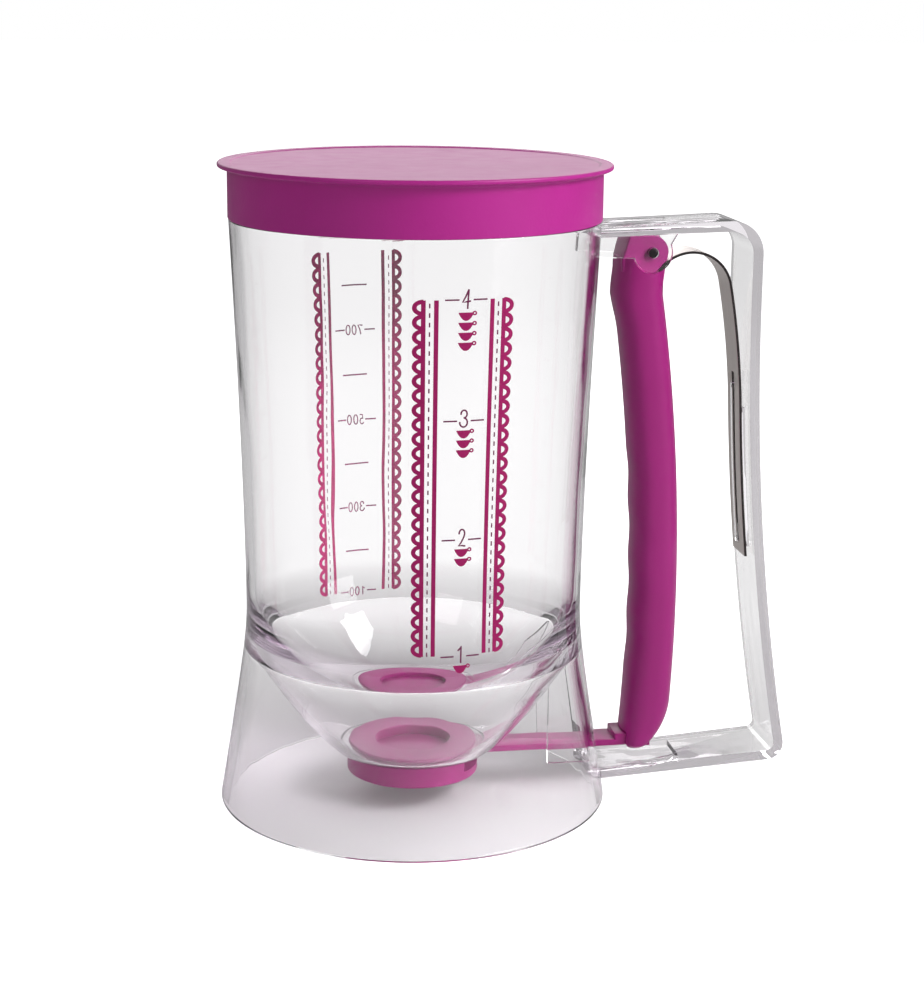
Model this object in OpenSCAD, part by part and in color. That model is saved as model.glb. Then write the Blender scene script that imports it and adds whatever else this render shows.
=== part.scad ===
// Squeeze-handled batter dispenser: a clear measuring vessel on a flared skirt, with a round-bottomed
// bowl, a sliding gate valve under it, a loop handle, a squeeze lever with a leaf spring, and a lid.
// Origin: centre of the foot ring, in the table plane. +Z is up, +X points along the handle.

/* [Vessel] */
// Outer radius at the waist, the narrowest place
waist_r = 48.8; // [46:0.1:52]
// Height of the waist above the table
waist_z = 59; // [56:0.5:64]
// How much wider the shoulder under the lid is than the waist, in radius
shoulder_flare = 3.7; // [2:0.1:6]
// Height of the shoulder that the lid sits on
shoulder_z = 171; // [165:0.5:180]
// Height of the thin rim above the shoulder
rim_h = 13.7; // [10:0.1:13.8]
// Wall thickness of the vessel and of the skirt
wall = 2.4; // [2:0.1:2.6]

/* [Skirt] */
// How much wider the foot is than the waist, in radius
foot_flare = 8.2; // [6:0.1:11]
// Length over which the flare starts softly below the waist
flare_soft = 13; // [8:0.5:18]
// Clearance between each guide plate and the valve arm's barbed end
guide_clear = 0.25; // [0.2:0.05:1]
// Thickness of each guide plate
guide_t = 1.4; // [1.2:0.1:2.4]
// Height of the guide plates' lower edge below the gate's underside
guide_drop = 3.4; // [2:0.1:5]
// Headroom of the window above the valve arm
window_head = 3; // [2.4:0.1:6]

/* [Bowl] */
// Height where the bowl's outside meets the skirt's inside
crotch_z = 46.8; // [44:0.2:50]
// Height of the flat underside of the bowl
lip_z = 15; // [14.6:0.1:17]
// Outer radius of the flat underside of the bowl
lip_r = 23.3; // [22:0.1:25]
// Height where the vessel's inside begins to curve into the bowl
knee_inside_z = 65; // [64:0.5:66]
// Radius of that curve
knee_inside_r = 50; // [49:0.5:52]
// Radius of the flat floor round the outlet
floor_r = 21.1; // [20.5:0.1:21.5]
// Thickness of the flat floor round the outlet
floor_t = 1.6; // [1.4:0.1:2.4]

/* [Valve] */
// Radius of the outlet through the valve seat
outlet_r = 11; // [8:0.1:11.5]
// Outer radius of the seat's flange inside the bowl
seat_r = 19.2; // [18:0.1:20]
// Thickness of the seat's flange
seat_t = 1.2; // [1:0.1:2.5]
// Radius of the seat's neck, which passes through the bowl's floor
neck_r = 16.4; // [16.3:0.1:17]
// Clearance between the seat, the bowl's floor and the cap
seat_fit = 0.1; // [0.05:0.01:0.15]
// Thickness of the two legs of the seat that carry the cap
leg_t = 1.4; // [1:0.1:1.8]
// Length of each leg along the gate's travel
leg_l = 12; // [8:0.5:14]
// Outer radius of the valve cap
cap_r = 19.4; // [19.2:0.1:21]
// Thickness of the cap's round wall
cap_wall = 1.6; // [1.2:0.1:1.8]
// Height of the cap from its underside to the bowl
cap_h = 7.5; // [7:0.1:8.2]
// Thickness of the cap's floor
cap_floor = 2.7; // [1.5:0.1:3]
// Radius of the opening in the cap's floor
spout_r = 12; // [11.6:0.1:13]
// Width of the gate
gate_w = 28.8; // [26:0.2:28.8]
// Length of the gate along its travel
gate_l = 26; // [25:0.2:27]
// Thickness of the gate's plate
gate_t = 2; // [1.4:0.1:2.6]
// How far the gate slides when the lever is squeezed
gate_travel = 25.8; // [25.8:0.1:28]
// Sliding clearance between the gate and what guides it
gate_fit = 0.1; // [0.05:0.01:0.15]
// Width of the runner under each side of the gate
runner_w = 2; // [1.5:0.1:2.3]
// Width of the valve arm
arm_w = 10.4; // [8:0.1:11]
// Thickness of the valve arm
arm_t = 1.8; // [1.4:0.1:2]
// Height of the block at the end of the arm
block_h = 3.6; // [3:0.1:4]
// Length of the block in front of its barbed end
block_l = 6.9; // [6:0.1:7.5]
// Width of the block's barbed end
barb_w = 13.4; // [12.6:0.1:13.6]
// Length of the block's barbed end
barb_l = 3.5; // [2.5:0.1:3.5]

/* [Handle] */
// Width of the handle band
band_w = 22; // [22:0.5:28]
// Thickness of the handle band
band_t = 3; // [2:0.1:3.2]
// Drop of the top arm's upper face below the vessel's shoulder
top_arm_drop = 2.2; // [0.5:0.1:6]
// Rise of the top arm along its length, per millimetre
top_arm_rise = 0.03; // [0:0.005:0.06]
// Distance from the waist to the outer face of the grip
grip_reach = 50; // [49.5:0.1:60]
// How much further out the grip stands at its foot
grip_flare = 12.3; // [8:0.1:14]
// Height below the shoulder from which the grip curves outwards
grip_knee = 21; // [21:1:31]
// Height of the lower arm's underside at the skirt
low_arm_z = 4.4; // [3:0.1:4.4]
// Rise of the lower arm along its length, per millimetre
low_arm_rise = 0.064; // [0:0.002:0.07]
// Outer radius of the top corner
top_corner_r = 9.5; // [6:0.1:12]
// Outer radius of the bottom corner
low_corner_r = 5; // [4:0.1:8]
// How much further out the lugs' handle side reaches at the top arm than at the pivot
lug_flare = 1.7; // [0.5:0.1:2.5]
// Thickness of each pivot lug
lug_t = 2.1; // [1.6:0.1:2.4]
// Clearance between each lug and the lever's head
lug_fit = 0.15; // [0.1:0.01:0.3]
// Radius of the lugs round the pivot
lug_r = 5.6; // [4.5:0.1:6]
// Depth of the lugs below the top arm, beside the vessel
lug_h = 5.9; // [5:0.1:6]

/* [Lever] */
// Distance from the waist to the lever's pivot
pivot_reach = 18.4; // [18:0.1:19]
// Width of the lever's head between the lugs
head_w = 12.5; // [12.3:0.1:13]
// Radius of the lever's head round the pivot
head_r = 4.7; // [4:0.1:4.8]
// Length of the head's flat top, which rests under the handle
head_flat = 6.8; // [5:0.1:7]
// How much longer the head is at the lever's shoulders than at its flat top
head_slope = 1.8; // [1:0.1:2]
// Height of the head's foot, which runs out into the neck
head_foot_h = 8.6; // [6:0.1:10]
// How much the head tapers towards its foot on the handle's side
head_taper = 1.1; // [0.6:0.1:1.5]
// Gap between the head's flat top and the handle, which stops the lever
stop_gap = 0.3; // [0.2:0.05:0.5]
// Gap between the lever's shoulders and the lugs above them
shoulder_gap = 0.3; // [0.2:0.05:0.5]
// Width of the lever's grip
lever_w = 17; // [17:0.5:20]
// Depth of the lever's grip, from the vessel's side to the handle's side
lever_d = 13.9; // [13.5:0.1:14.5]
// How far the middle of the lever's neck lies behind the pivot
neck_back = 2.3; // [1.8:0.1:2.8]
// Length of the upright neck below the lever's shoulders
neck_h = 11.1; // [9.5:0.1:12]
// How much the neck swells towards the vessel
neck_swell = 0.8; // [0.2:0.1:1.2]
// How far the lever bows out from its neck to its belly
lever_bow = 6.9; // [5.5:0.1:7.2]
// Height of the belly, the furthest point of the bow
belly_z = 60; // [55:1:64]
// Height of the lever's lower tip
tip_z = 11; // [10.4:0.1:11.3]
// Height of the tip's rounding on the handle's side
tip_back_h = 15.5; // [14:0.5:17]
// Height of the tip's rounding on the vessel's side
tip_front_h = 4; // [3:0.1:5]
// Height of the tip's rounding across the lever
tip_side_h = 2.5; // [2:0.1:3]
// Distance of the tip's lowest point from the line under the pivot
tip_back = 1.7; // [1:0.1:2]
// Depth of the finger waves on the vessel's side
wave_d = 0.4; // [0.1:0.05:0.8]
// Pitch of the finger waves
wave_pitch = 17; // [15:0.5:20]
// Height of the lowest finger wave below the belly
wave_drop = 24; // [20:1:26]
// Clearance of the barbed block in the lever's pocket, along its travel
pocket_fit = 0.5; // [0.45:0.05:0.6]
// Radius of the pivot pin
pin_r = 1.5; // [1.2:0.05:1.8]
// How far each end of the pin lies inside its lug
pin_recess = 0.75; // [0.2:0.05:1.2]
// Running clearance of the lever on its pin
pin_fit = 0.05; // [0.02:0.01:0.1]

/* [Leaf spring] */
// Width of the spring strip
strip_w = 12; // [10:0.5:12]
// Thickness of the spring strip
strip_t = 0.8; // [0.5:0.05:1]
// Length of strip that lies on the pad
strip_seat_l = 45; // [40:0.5:50]
// Thickness of the pad between the handle and the strip
pad_t = 0.8; // [0.6:0.1:1.2]
// Length of strip that is left below the slot
slot_end = 3; // [2.5:0.1:5]
// How far the slot runs on above the pad
slot_over = 10; // [8:0.5:12]
// How much lower the rib ends than the slot
rib_drop = 3.5; // [2.5:0.1:5]
// Width of the slot in the strip
slot_w = 2.4; // [2:0.1:3]
// Outer radius of the long curve between the pad and the bend over the top
long_r = 250; // [200:5:300]
// Outer radius of the curve down into the lever
tail_r = 12.9; // [12:0.1:14]
// Depth of that curve's end below the pivot
tail_drop = 12.3; // [12:0.1:12.6]
// Distance of that curve's end from the line under the pivot
tail_back = 0.5; // [0.3:0.1:0.8]
// Length of the straight end inside the lever
tail_l = 3; // [2:0.5:4]
// Clearance of the strip in the lever's slot
strip_fit = 0.3; // [0.2:0.05:0.5]

/* [Lid] */
// How far the lid's skirt stands proud of the vessel below it
lid_proud = 0.2; // [0:0.05:0.5]
// Wall thickness of the lid's skirt
lid_wall = 1.3; // [1:0.05:1.4]
// Thickness of the lid's top
lid_top_t = 1.6; // [1.2:0.1:1.7]
// Height of the lid from the shoulder to its top face
lid_h = 15.6; // [15.5:0.1:18]
// How far the lid's flange overhangs its skirt
flange_over = 2.8; // [1.5:0.1:5]
// Depth of the recess in the lid's top
recess_d = 0.35; // [0.1:0.05:0.5]
// Width of the raised border round the recess
border_w = 3.6; // [2:0.1:6]
// Clearance of the lid on the vessel's rim
lid_fit = 0.1; // [0.05:0.01:0.15]
// Depth of the lid's inner sealing lip
seal_d = 3.5; // [2:0.1:6]
// Thickness of the lid's inner sealing lip
seal_t = 1.2; // [0.8:0.1:1.6]

/* [Hidden] */
$fn = 96;
far = 200;      // longer than anything that it cuts
bury = 0.5;     // how deep a joined shape reaches into its neighbour
rings = 14;     // steps along each curved wall

clear_tint = [0.92, 0.93, 0.93, 0.35];
magenta = [0.66, 0.16, 0.51];
steel = [0.62, 0.6, 0.58];

// --- helpers ---
function hypot(a, b) = sqrt(a * a + b * b);
function lerp(a, b, t) = a + (b - a) * t;
function steps(a, b, n) = [for (i = [0 : n]) lerp(a, b, i / n)];
function turn(a) = [cos(a), sin(a)];
function arc(c, r, a0, a1, n) = [for (a = steps(a0, a1, n)) c + r * turn(a)];
function reversed(p) = [for (i = [len(p) - 1 : -1 : 0]) p[i]];
function rest_of(p) = [for (i = [1 : len(p) - 1]) p[i]];

// --- curves of the clear moulding ---
flare_slope = foot_flare / (hypot(waist_z, flare_soft) - flare_soft);
// Outer radius of vessel and skirt at height z
function outer_r(z) = z < waist_z
    ? waist_r + flare_slope * (hypot(waist_z - z, flare_soft) - flare_soft)
    : waist_r + shoulder_flare * pow((z - waist_z) / (shoulder_z - waist_z), 1.5);
function inner_r(z) = outer_r(z) - wall;
function outer_line(z0, z1) = [for (z = steps(z0, z1, rings)) [outer_r(z), z]];
function inner_line(z0, z1) = [for (z = steps(z0, z1, rings)) [inner_r(z), z]];

// Below its top, each side of the bowl is a paraboloid between two circles, given as [radius, height]
crotch_r = inner_r(crotch_z);
bowl_floor_z = lip_z + floor_t;
split_z = crotch_z + 3;            // where the solids of vessel, bowl and skirt meet
function bowl_line(from, to) = [for (z = steps(from[1], to[1], rings))
    [sqrt(lerp(from[0] * from[0], to[0] * to[0], (z - from[1]) / (to[1] - from[1]))), z]];
bowl_out = bowl_line([lip_r, lip_z], [crotch_r, crotch_z]);
// Point of the inside where it has turned through the angle a along its curve
function curve_point(a) = [inner_r(knee_inside_z) - knee_inside_r * (1 - cos(a)),
                           knee_inside_z - knee_inside_r * sin(a)];
split_turn = asin((knee_inside_z - split_z) / knee_inside_r);
// Square of the radius at which a paraboloid that leaves the curve there would meet the floor
function reach(a) = let (p = curve_point(a)) p[0] * (p[0] - 2 * tan(a) * (p[1] - bowl_floor_z));
// The angle, found by halving, from which that paraboloid meets the floor at its edge
function leaving(a, b, n) = let (mid = (a + b) / 2) n == 0 ? mid
    : reach(mid) > floor_r * floor_r ? leaving(mid, b, n - 1) : leaving(a, mid, n - 1);
turn_in = leaving(split_turn, 60, 40);
curve_end = curve_point(turn_in);
vessel_in = concat(inner_line(shoulder_z, knee_inside_z),
    [for (a = rest_of(steps(0, split_turn, 6))) curve_point(a)]);
bowl_in = concat([for (a = steps(split_turn, turn_in, 6)) curve_point(a)],
    rest_of(bowl_line(curve_end, [floor_r, bowl_floor_z])));

// --- valve, stacked from the bowl's underside ---
seat_bottom_z = lip_z - 0.2;
gate_top_z = seat_bottom_z - gate_fit;
cap_z = lip_z - cap_h;
cap_floor_z = cap_z + cap_floor;
gate_bottom_z = cap_floor_z + gate_fit;
channel_w = gate_w + 2 * gate_fit;
cap_bore_r = cap_r - cap_wall;
arm_top_z = gate_top_z - 0.3;
arm_z = arm_top_z - arm_t;
pivot_x = waist_r + pivot_reach;
barb_x = pivot_x + 0.3;            // shoulder of the barbed end
block_x = barb_x - block_l;
guide_gap = barb_w + 2 * guide_clear;
guide_x = gate_l / 2 + gate_travel + 0.5;
guide_z = gate_top_z - gate_t - guide_drop;

// --- lid and rim ---
lid_skirt_r = outer_r(shoulder_z) + lid_proud;
lid_bore_r = lid_skirt_r - lid_wall;
rim_r = lid_bore_r - lid_fit;
vessel_bore_r = inner_r(shoulder_z);
lid_top_z = shoulder_z + lid_h;

// --- handle outline ---
root_x = waist_r - wall;           // inside the wall; the handle is cut back to the wall afterwards
foot_r = waist_r + foot_flare;
grip_x = waist_r + grip_reach;
knee_z = shoulder_z - grip_knee;
function top_z(x) = shoulder_z - top_arm_drop + top_arm_rise * (x - waist_r);
function low_z(x) = low_arm_z + low_arm_rise * (x - foot_r);
low_lean = 10;                     // lean of the grip's foot, in degrees
foot_z = low_z(grip_x + grip_flare) + low_corner_r * (1 + sin(low_lean));
// Distance from the axis to the grip's outer face at height z
function grip_r(z) = grip_x + (z > knee_z ? 0 : grip_flare * pow((knee_z - z) / (knee_z - foot_z), 2));
function grip_lean(z) = atan(2 * grip_flare * (knee_z - z) / pow(knee_z - foot_z, 2));
top_corner = [grip_x, top_z(grip_x)] - [top_corner_r, top_corner_r];
low_corner = [grip_r(foot_z), foot_z] - low_corner_r * turn(low_lean);
// One face of the band, set in from the outer face by d
function band_line(d) = concat(
    [[root_x, top_z(root_x) - d]],
    arc(top_corner, top_corner_r - d, 90, 0, 10),
    [for (z = steps(knee_z, foot_z, rings)) [grip_r(z) - d, z]],
    arc(low_corner, low_corner_r - d, low_lean, -90, 8),
    [[root_x, low_z(root_x) + d]]);

// --- lugs and the lever's head ---
head_top_z = top_z(pivot_x - head_flat) - band_t - stop_gap;
pivot_z = head_top_z - head_r;
pivot = [pivot_x, pivot_z];
lug_in = head_w / 2 + lug_fit;
lug_z = top_z(waist_r) - band_t - lug_h;
lever_top_z = lug_z - shoulder_gap;
head_back = head_flat + head_slope; // how far the head's foot reaches from the pivot to the vessel

// --- lever ---
neck_z = lever_top_z - neck_h;     // above this height the lever runs straight up
function lever_mid(z) = pivot_x - neck_back
    + lever_bow * (1 - pow((min(z, neck_z) - belly_z) / (neck_z - belly_z), 2));
wave_z0 = belly_z - wave_drop;
wave_n = 4;
function wave(z) = z < wave_z0 || z > wave_z0 + wave_n * wave_pitch ? 0
    : wave_d * (1 - cos(360 * (z - wave_z0) / wave_pitch)) / 2;
// Swelling of the neck towards the vessel, gone twice the neck's length below the shoulders
function swell(z) = neck_swell * pow(sin(180 * min(1, max(0, 1 - (lever_top_z - z) / (2 * neck_h)))), 2);
// 1 at the full section, shrinking towards the end of a rounding of height h above the tip
function rounded(z, h) = z > tip_z + h ? 1 : sqrt(max(0.02, 1 - pow((tip_z + h - z) / h, 2)));
heel_x = pivot_x - tip_back;       // where the roundings of both sides meet, at the tip
function lever_right(z) = lerp(heel_x, lever_mid(z) + lever_d / 2, rounded(z, tip_back_h));
function lever_left(z) = lerp(heel_x, lever_mid(z) - lever_d / 2 + wave(z) - swell(z),
    rounded(z, tip_front_h));
function lever_half(z) = lever_w / 2 * rounded(z, tip_side_h);
function signed_pow(v, p) = sign(v) * pow(abs(v), p);
lever_zs = concat([for (t = [0, 0.02, 0.06, 0.12, 0.2, 0.3, 0.45, 0.65, 0.85, 1, 1.3])
                      tip_z + t * tip_back_h],
                  steps(tip_z + 1.6 * tip_back_h, neck_z, 26),
                  rest_of(steps(neck_z, lever_top_z, 4)));
lever_sides = 28;
function lever_ring(z) = [for (i = [0 : lever_sides - 1]) let (a = 360 * i / lever_sides)
    [(lever_left(z) + lever_right(z)) / 2
        + (lever_right(z) - lever_left(z)) / 2 * signed_pow(cos(a), 0.8),
     lever_half(z) * signed_pow(sin(a), 0.8), z]];

// --- leaf spring, as the line of its face towards the handle ---
bend_from = 11;                    // direction that this face looks in where each curve ends
bend_to = 102;
tail_from = 178;
tail = pivot - [tail_back, tail_drop]; // where the last curve ends, inside the lever
strip_gap = 0.1;                   // between the strip and its pad
function pad_x(z) = grip_r(z) - band_t - pad_t;
function seat_x(z) = pad_x(z) - strip_gap;
bend_span = turn(bend_to) - turn(bend_from);
tail_span = turn(tail_from) - turn(bend_to);
// Radius of the bend that joins a seat ending at height z to the curve into the lever
function bend_r(z) = (tail - [seat_x(z), z] - long_r * (turn(bend_from) - turn(grip_lean(z)))
    - tail_r * tail_span)[0] / bend_span[0];
// Height of the seat's end at which that bend also ends at the right height
function seat_end(z) = (tail - bend_r(z) * bend_span - tail_r * tail_span)[1]
    - long_r * (sin(bend_from) - sin(grip_lean(z)));
function settled(z, n) = n == 0 ? z : settled(seat_end(z), n - 1);
pad_top_z = settled(pivot_z - strip_seat_l, 16);
strip_z = pad_top_z - strip_seat_l;
seat_lean = grip_lean(pad_top_z);
bend_radius = bend_r(pad_top_z);
long_centre = [seat_x(pad_top_z), pad_top_z] - long_r * turn(seat_lean);
bend_centre = long_centre + (long_r - bend_radius) * turn(bend_from);
tail_centre = bend_centre + (bend_radius - tail_r) * turn(bend_to);
tail_dir = turn(tail_from + 90);
// The part of one face that lies in the lever, set in by d and run on by l
function tail_line(d, l) = concat(
    arc(tail_centre, tail_r - d, bend_to, tail_from, 10),
    [tail_centre + (tail_r - d) * turn(tail_from) + l * tail_dir]);
// One whole face of the strip, set in by d
function strip_line(d) = concat(
    [for (z = steps(strip_z, pad_top_z, 8)) [seat_x(z) - d, z]],
    rest_of(arc(long_centre, long_r - d, seat_lean, bend_from, 8)),
    rest_of(arc(bend_centre, bend_radius - d, bend_from, bend_to, 12)),
    rest_of(tail_line(d, tail_l)));
slot_z0 = strip_z + slot_end;
slot_z1 = pad_top_z + slot_over;
rib_top_z = slot_z1 - rib_drop;
hook_z = slot_z0 + 6;
hook_x = seat_x(hook_z) - strip_t - 0.15;
rib_t = slot_w - 0.8;
rib_h = strip_gap + strip_t + 0.7; // how far the rib stands out of the pad

// Solid inside the outer surface of vessel and skirt, to cut the handle back to it
module outer_form() {
    rotate_extrude() polygon(concat([[0, 0]], outer_line(0, split_z),
        rest_of(outer_line(split_z, shoulder_z)), [[0, shoulder_z]]));
}

// Solid inside the bowl's outer surface
module bowl_form() {
    rotate_extrude() polygon(concat([[0, lip_z]], bowl_out, [[crotch_r, split_z], [0, split_z]]));
}

// Solid inside the middle of the skirt's wall, to cut what is joined to its inside
module skirt_form() {
    rotate_extrude() polygon(concat([[0, 0]],
        [for (p = outer_line(0, crotch_z)) p - [wall / 2, 0]], [[0, crotch_z]]));
}

// Extrudes an outline drawn in X and Z to the given width, centred on the handle's plane
module slab(w) {
    rotate([90, 0, 0]) translate([0, 0, -w / 2]) linear_extrude(w) children();
}

// Press-on lid: recessed top, pull-off flange, skirt over the rim and an inner sealing lip
module lid() {
    under_z = lid_top_z - lid_top_t;
    seal_r = vessel_bore_r - lid_fit;
    flange_r = lid_skirt_r + flange_over;
    color(magenta) rotate_extrude() polygon([
        [0, under_z], [seal_r - seal_t, under_z], [seal_r - seal_t, under_z - seal_d],
        [seal_r, under_z - seal_d], [seal_r, under_z], [lid_bore_r, under_z],
        [lid_bore_r, shoulder_z], [lid_skirt_r, shoulder_z], [lid_skirt_r, under_z],
        [flange_r, under_z], [flange_r, lid_top_z], [flange_r - border_w, lid_top_z],
        [flange_r - border_w - recess_d, lid_top_z - recess_d], [0, lid_top_z - recess_d]]);
}

// Measuring vessel: the tapered wall from the bowl to the thin rim
module vessel() {
    color(clear_tint) rotate_extrude() polygon(concat(outer_line(split_z, shoulder_z),
        [[rim_r, shoulder_z], [rim_r, shoulder_z + rim_h], [vessel_bore_r, shoulder_z + rim_h]],
        vessel_in));
}

// Round-bottomed bowl with a flat floor round the outlet
module bowl() {
    hole_r = neck_r + seat_fit;
    color(clear_tint) rotate_extrude() polygon(concat([[hole_r, lip_z]], bowl_out,
        [[crotch_r, split_z]], bowl_in, [[hole_r, bowl_floor_z]]));
}

// Flared skirt that the dispenser stands on, with the arm's window, its sill and two guide plates
module skirt() {
    sill_z = low_z(foot_r);
    sill_x = sqrt(pow(inner_r(sill_z), 2) - pow(band_w / 2, 2));
    color(clear_tint) difference() {
        union() {
            rotate_extrude() polygon(concat(outer_line(0, split_z), [[crotch_r, split_z]],
                inner_line(crotch_z, 0)));
            intersection() {
                union() {
                    for (side = [0, 1]) mirror([0, side, 0])
                        translate([guide_x, guide_gap / 2, guide_z]) cube([far, guide_t, far]);
                    translate([sill_x, -band_w / 2, sill_z]) cube([far, band_w, band_t]);
                }
                skirt_form();
            }
        }
        bowl_form();
        translate([guide_x, -guide_gap / 2, sill_z + band_t])
            cube([far, guide_gap, arm_top_z + window_head - sill_z - band_t]);
    }
}

// Loop handle with the pivot lugs, the spring's pad, and the rib and hook that hold the spring
module handle() {
    lug_top_z = top_z(pivot_x) - band_t + bury;
    color(clear_tint) difference() {
        union() {
            slab(band_w) polygon(concat(band_line(0), reversed(band_line(band_t))));
            for (side = [0, 1]) mirror([0, side, 0]) translate([0, lug_in + lug_t / 2, 0])
                slab(lug_t) union() {
                    polygon([[root_x, lug_z], [pivot_x, lug_z], pivot + lug_r * turn(25),
                             [pivot_x + lug_r + lug_flare, lug_top_z], [root_x, lug_top_z]]);
                    translate(pivot) circle(lug_r);
                }
            slab(strip_w) polygon(concat(
                [for (z = steps(slot_z0, pad_top_z, 8)) [pad_x(z), z]],
                [for (z = steps(pad_top_z, slot_z0, 8)) [grip_r(z) - band_t + bury, z]]));
            slab(rib_t) polygon(concat(
                [for (z = steps(slot_z0 + bury, rib_top_z, 8)) [pad_x(z) - rib_h, z]],
                [for (z = steps(rib_top_z, slot_z0 + bury, 8)) [grip_r(z) - band_t + bury, z]]));
            slab(slot_w + 2.4) polygon([
                [pad_x(slot_z0) - rib_h, slot_z0 + bury], [pad_x(slot_z0) - rib_h, slot_z0 + 3],
                [hook_x, hook_z], [hook_x, slot_z0 + bury]]);
        }
        outer_form();
        translate([pivot_x, 0, pivot_z]) rotate([90, 0, 0]) cylinder(r = pin_r, h = far, center = true);
    }
}

// Seat: a flanged ring on the bowl's floor, with two legs beside the gate that carry the cap
module valve_seat() {
    color(magenta) difference() {
        union() {
            translate([0, 0, bowl_floor_z]) cylinder(r = seat_r, h = seat_t);
            translate([0, 0, seat_bottom_z]) cylinder(r = neck_r, h = bowl_floor_z - seat_bottom_z + bury);
            intersection() {
                translate([0, 0, gate_bottom_z]) cylinder(r = neck_r, h = lip_z - gate_bottom_z);
                for (side = [0, 1]) mirror([0, side, 0])
                    translate([-leg_l / 2, channel_w / 2, gate_bottom_z])
                        cube([leg_l, leg_t, lip_z - gate_bottom_z]);
            }
        }
        translate([0, 0, seat_bottom_z - 1]) cylinder(r = outlet_r, h = far);
    }
}

// Cap: a shallow cup with the gate's channel, open towards the handle, and the spout hole
module valve_cap() {
    pocket_l = leg_l + 2 * seat_fit;
    color(magenta) difference() {
        translate([0, 0, cap_z]) cylinder(r = cap_r, h = cap_h);
        translate([0, 0, cap_z - 1]) cylinder(r = spout_r, h = cap_h);
        translate([0, 0, seat_bottom_z]) cylinder(r = neck_r + seat_fit, h = far);
        translate([0, 0, cap_floor_z]) {
            // the channel, closed by the round wall at the back and open at the front
            intersection() {
                cylinder(r = cap_bore_r, h = far);
                translate([-far, -channel_w / 2, 0]) cube([2 * far, channel_w, far]);
            }
            translate([0, -channel_w / 2, 0]) cube([far, channel_w, far]);
            // pockets for the seat's legs
            intersection() {
                cylinder(r = neck_r + seat_fit, h = far);
                translate([-pocket_l / 2, -far, 0]) cube([pocket_l, 2 * far, far]);
            }
        }
    }
}

// Slide: the gate on its two runners, the flat arm, and the barbed block that snaps into the lever
module valve_slide() {
    color(magenta) union() {
        intersection() {
            translate([-gate_l / 2, 0, 0]) union() {
                translate([0, -gate_w / 2, gate_top_z - gate_t]) cube([gate_l, gate_w, gate_t]);
                for (side = [0, 1]) mirror([0, side, 0])
                    translate([0, gate_w / 2 - runner_w, gate_bottom_z])
                        cube([gate_l, runner_w, gate_top_z - gate_bottom_z - bury]);
            }
            union() {
                cylinder(r = cap_bore_r - 0.3, h = far);
                translate([0, -far, 0]) cube([far, 2 * far, far]);
            }
        }
        translate([gate_l / 2 - bury, -arm_w / 2, arm_z]) cube([block_x - gate_l / 2 + 1, arm_w, arm_t]);
        translate([block_x, -arm_w / 2, arm_z]) cube([block_l + bury, arm_w, block_h]);
        translate([barb_x, -barb_w / 2, arm_z]) cube([barb_l, barb_w, block_h]);
    }
}

// Bowed oval grip of the lever, lofted through its rings
module lever_grip() {
    last = len(lever_zs) - 1;
    sides = [for (r = [0 : last - 1], i = [0 : lever_sides - 1])
        let (j = (i + 1) % lever_sides, a = r * lever_sides, b = a + lever_sides)
        each [[a + i, b + j, a + j], [a + i, b + i, b + j]]];
    ends = [[for (i = [0 : lever_sides - 1]) i],
            [for (i = [lever_sides - 1 : -1 : 0]) last * lever_sides + i]];
    polyhedron([for (z = lever_zs) each lever_ring(z)], concat(sides, ends));
}

// Squeeze lever: the grip, a narrow head between the lugs, the spring's slot and the slide's pocket
module lever() {
    pocket_top_z = arm_z + block_h + 0.4;
    side_fit = 0.3;
    color(magenta) difference() {
        union() {
            lever_grip();
            slab(head_w) union() {
                translate(pivot) circle(head_r);
                polygon([[pivot_x - head_back, lever_top_z - 4], [pivot_x - head_back, lever_top_z],
                    [pivot_x - head_flat, head_top_z], [pivot_x, head_top_z],
                    [pivot_x + head_r, pivot_z],
                    [pivot_x + head_r - head_taper, lever_top_z - head_foot_h]]);
            }
        }
        translate([pivot_x, 0, pivot_z]) rotate([90, 0, 0])
            cylinder(r = pin_r + pin_fit, h = far, center = true);
        // room for the lugs on both sides of the head
        for (side = [0, 1]) mirror([0, side, 0]) translate([pivot_x, head_w / 2, pivot_z])
            rotate([-90, 0, 0]) cylinder(r = lug_r + 0.4, h = far);
        // slot for the spring's tail
        slab(strip_w + 2 * strip_fit) polygon(concat(tail_line(-strip_fit, tail_l + 1),
            reversed(tail_line(strip_t + strip_fit, tail_l + 1))));
        // pocket for the barbed block, open below
        translate([0, -arm_w / 2 - side_fit, 0]) cube([barb_x + 1, arm_w + 2 * side_fit, pocket_top_z]);
        translate([barb_x - pocket_fit, -barb_w / 2 - side_fit, 0])
            cube([barb_l + 2 * pocket_fit, barb_w + 2 * side_fit, pocket_top_z]);
    }
}

// Steel pivot pin, pressed into the lugs
module pivot_pin() {
    color(steel) translate([pivot_x, 0, pivot_z]) rotate([90, 0, 0])
        cylinder(r = pin_r, h = 2 * (lug_in + lug_t - pin_recess), center = true);
}

// Leaf spring: a bent steel strip, slotted over the handle's rib, with its tail in the lever
module leaf_spring() {
    color(steel) difference() {
        slab(strip_w) polygon(concat(strip_line(0), reversed(strip_line(strip_t))));
        translate([0, -slot_w / 2, slot_z0]) cube([far, slot_w, slot_z1 - slot_z0]);
    }
}

lid();
vessel();
bowl();
skirt();
handle();
valve_seat();
valve_cap();
valve_slide();
lever();
pivot_pin();
leaf_spring();
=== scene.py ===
# %% [markdown]
# # A squeeze-handled batter dispenser
# This lesson dresses a packed mechanical model in Blender. The dispenser is a clear moulded jug on a
# flared skirt, with a round-bottomed bowl, a sliding gate valve under it, a loop handle with a squeeze
# lever and a leaf spring, and a soft magenta lid. The mechanical model says where every piece is and how
# it moves. Blender adds what a camera would see: rounded edges, clear plastic, ink, steel and light.
# The model could be shown as it is, with new colours only, but its edges are knife sharp and its clear
# moulding is in four solids. So most pieces are built again here, from the same lengths.

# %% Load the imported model
import math

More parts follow.
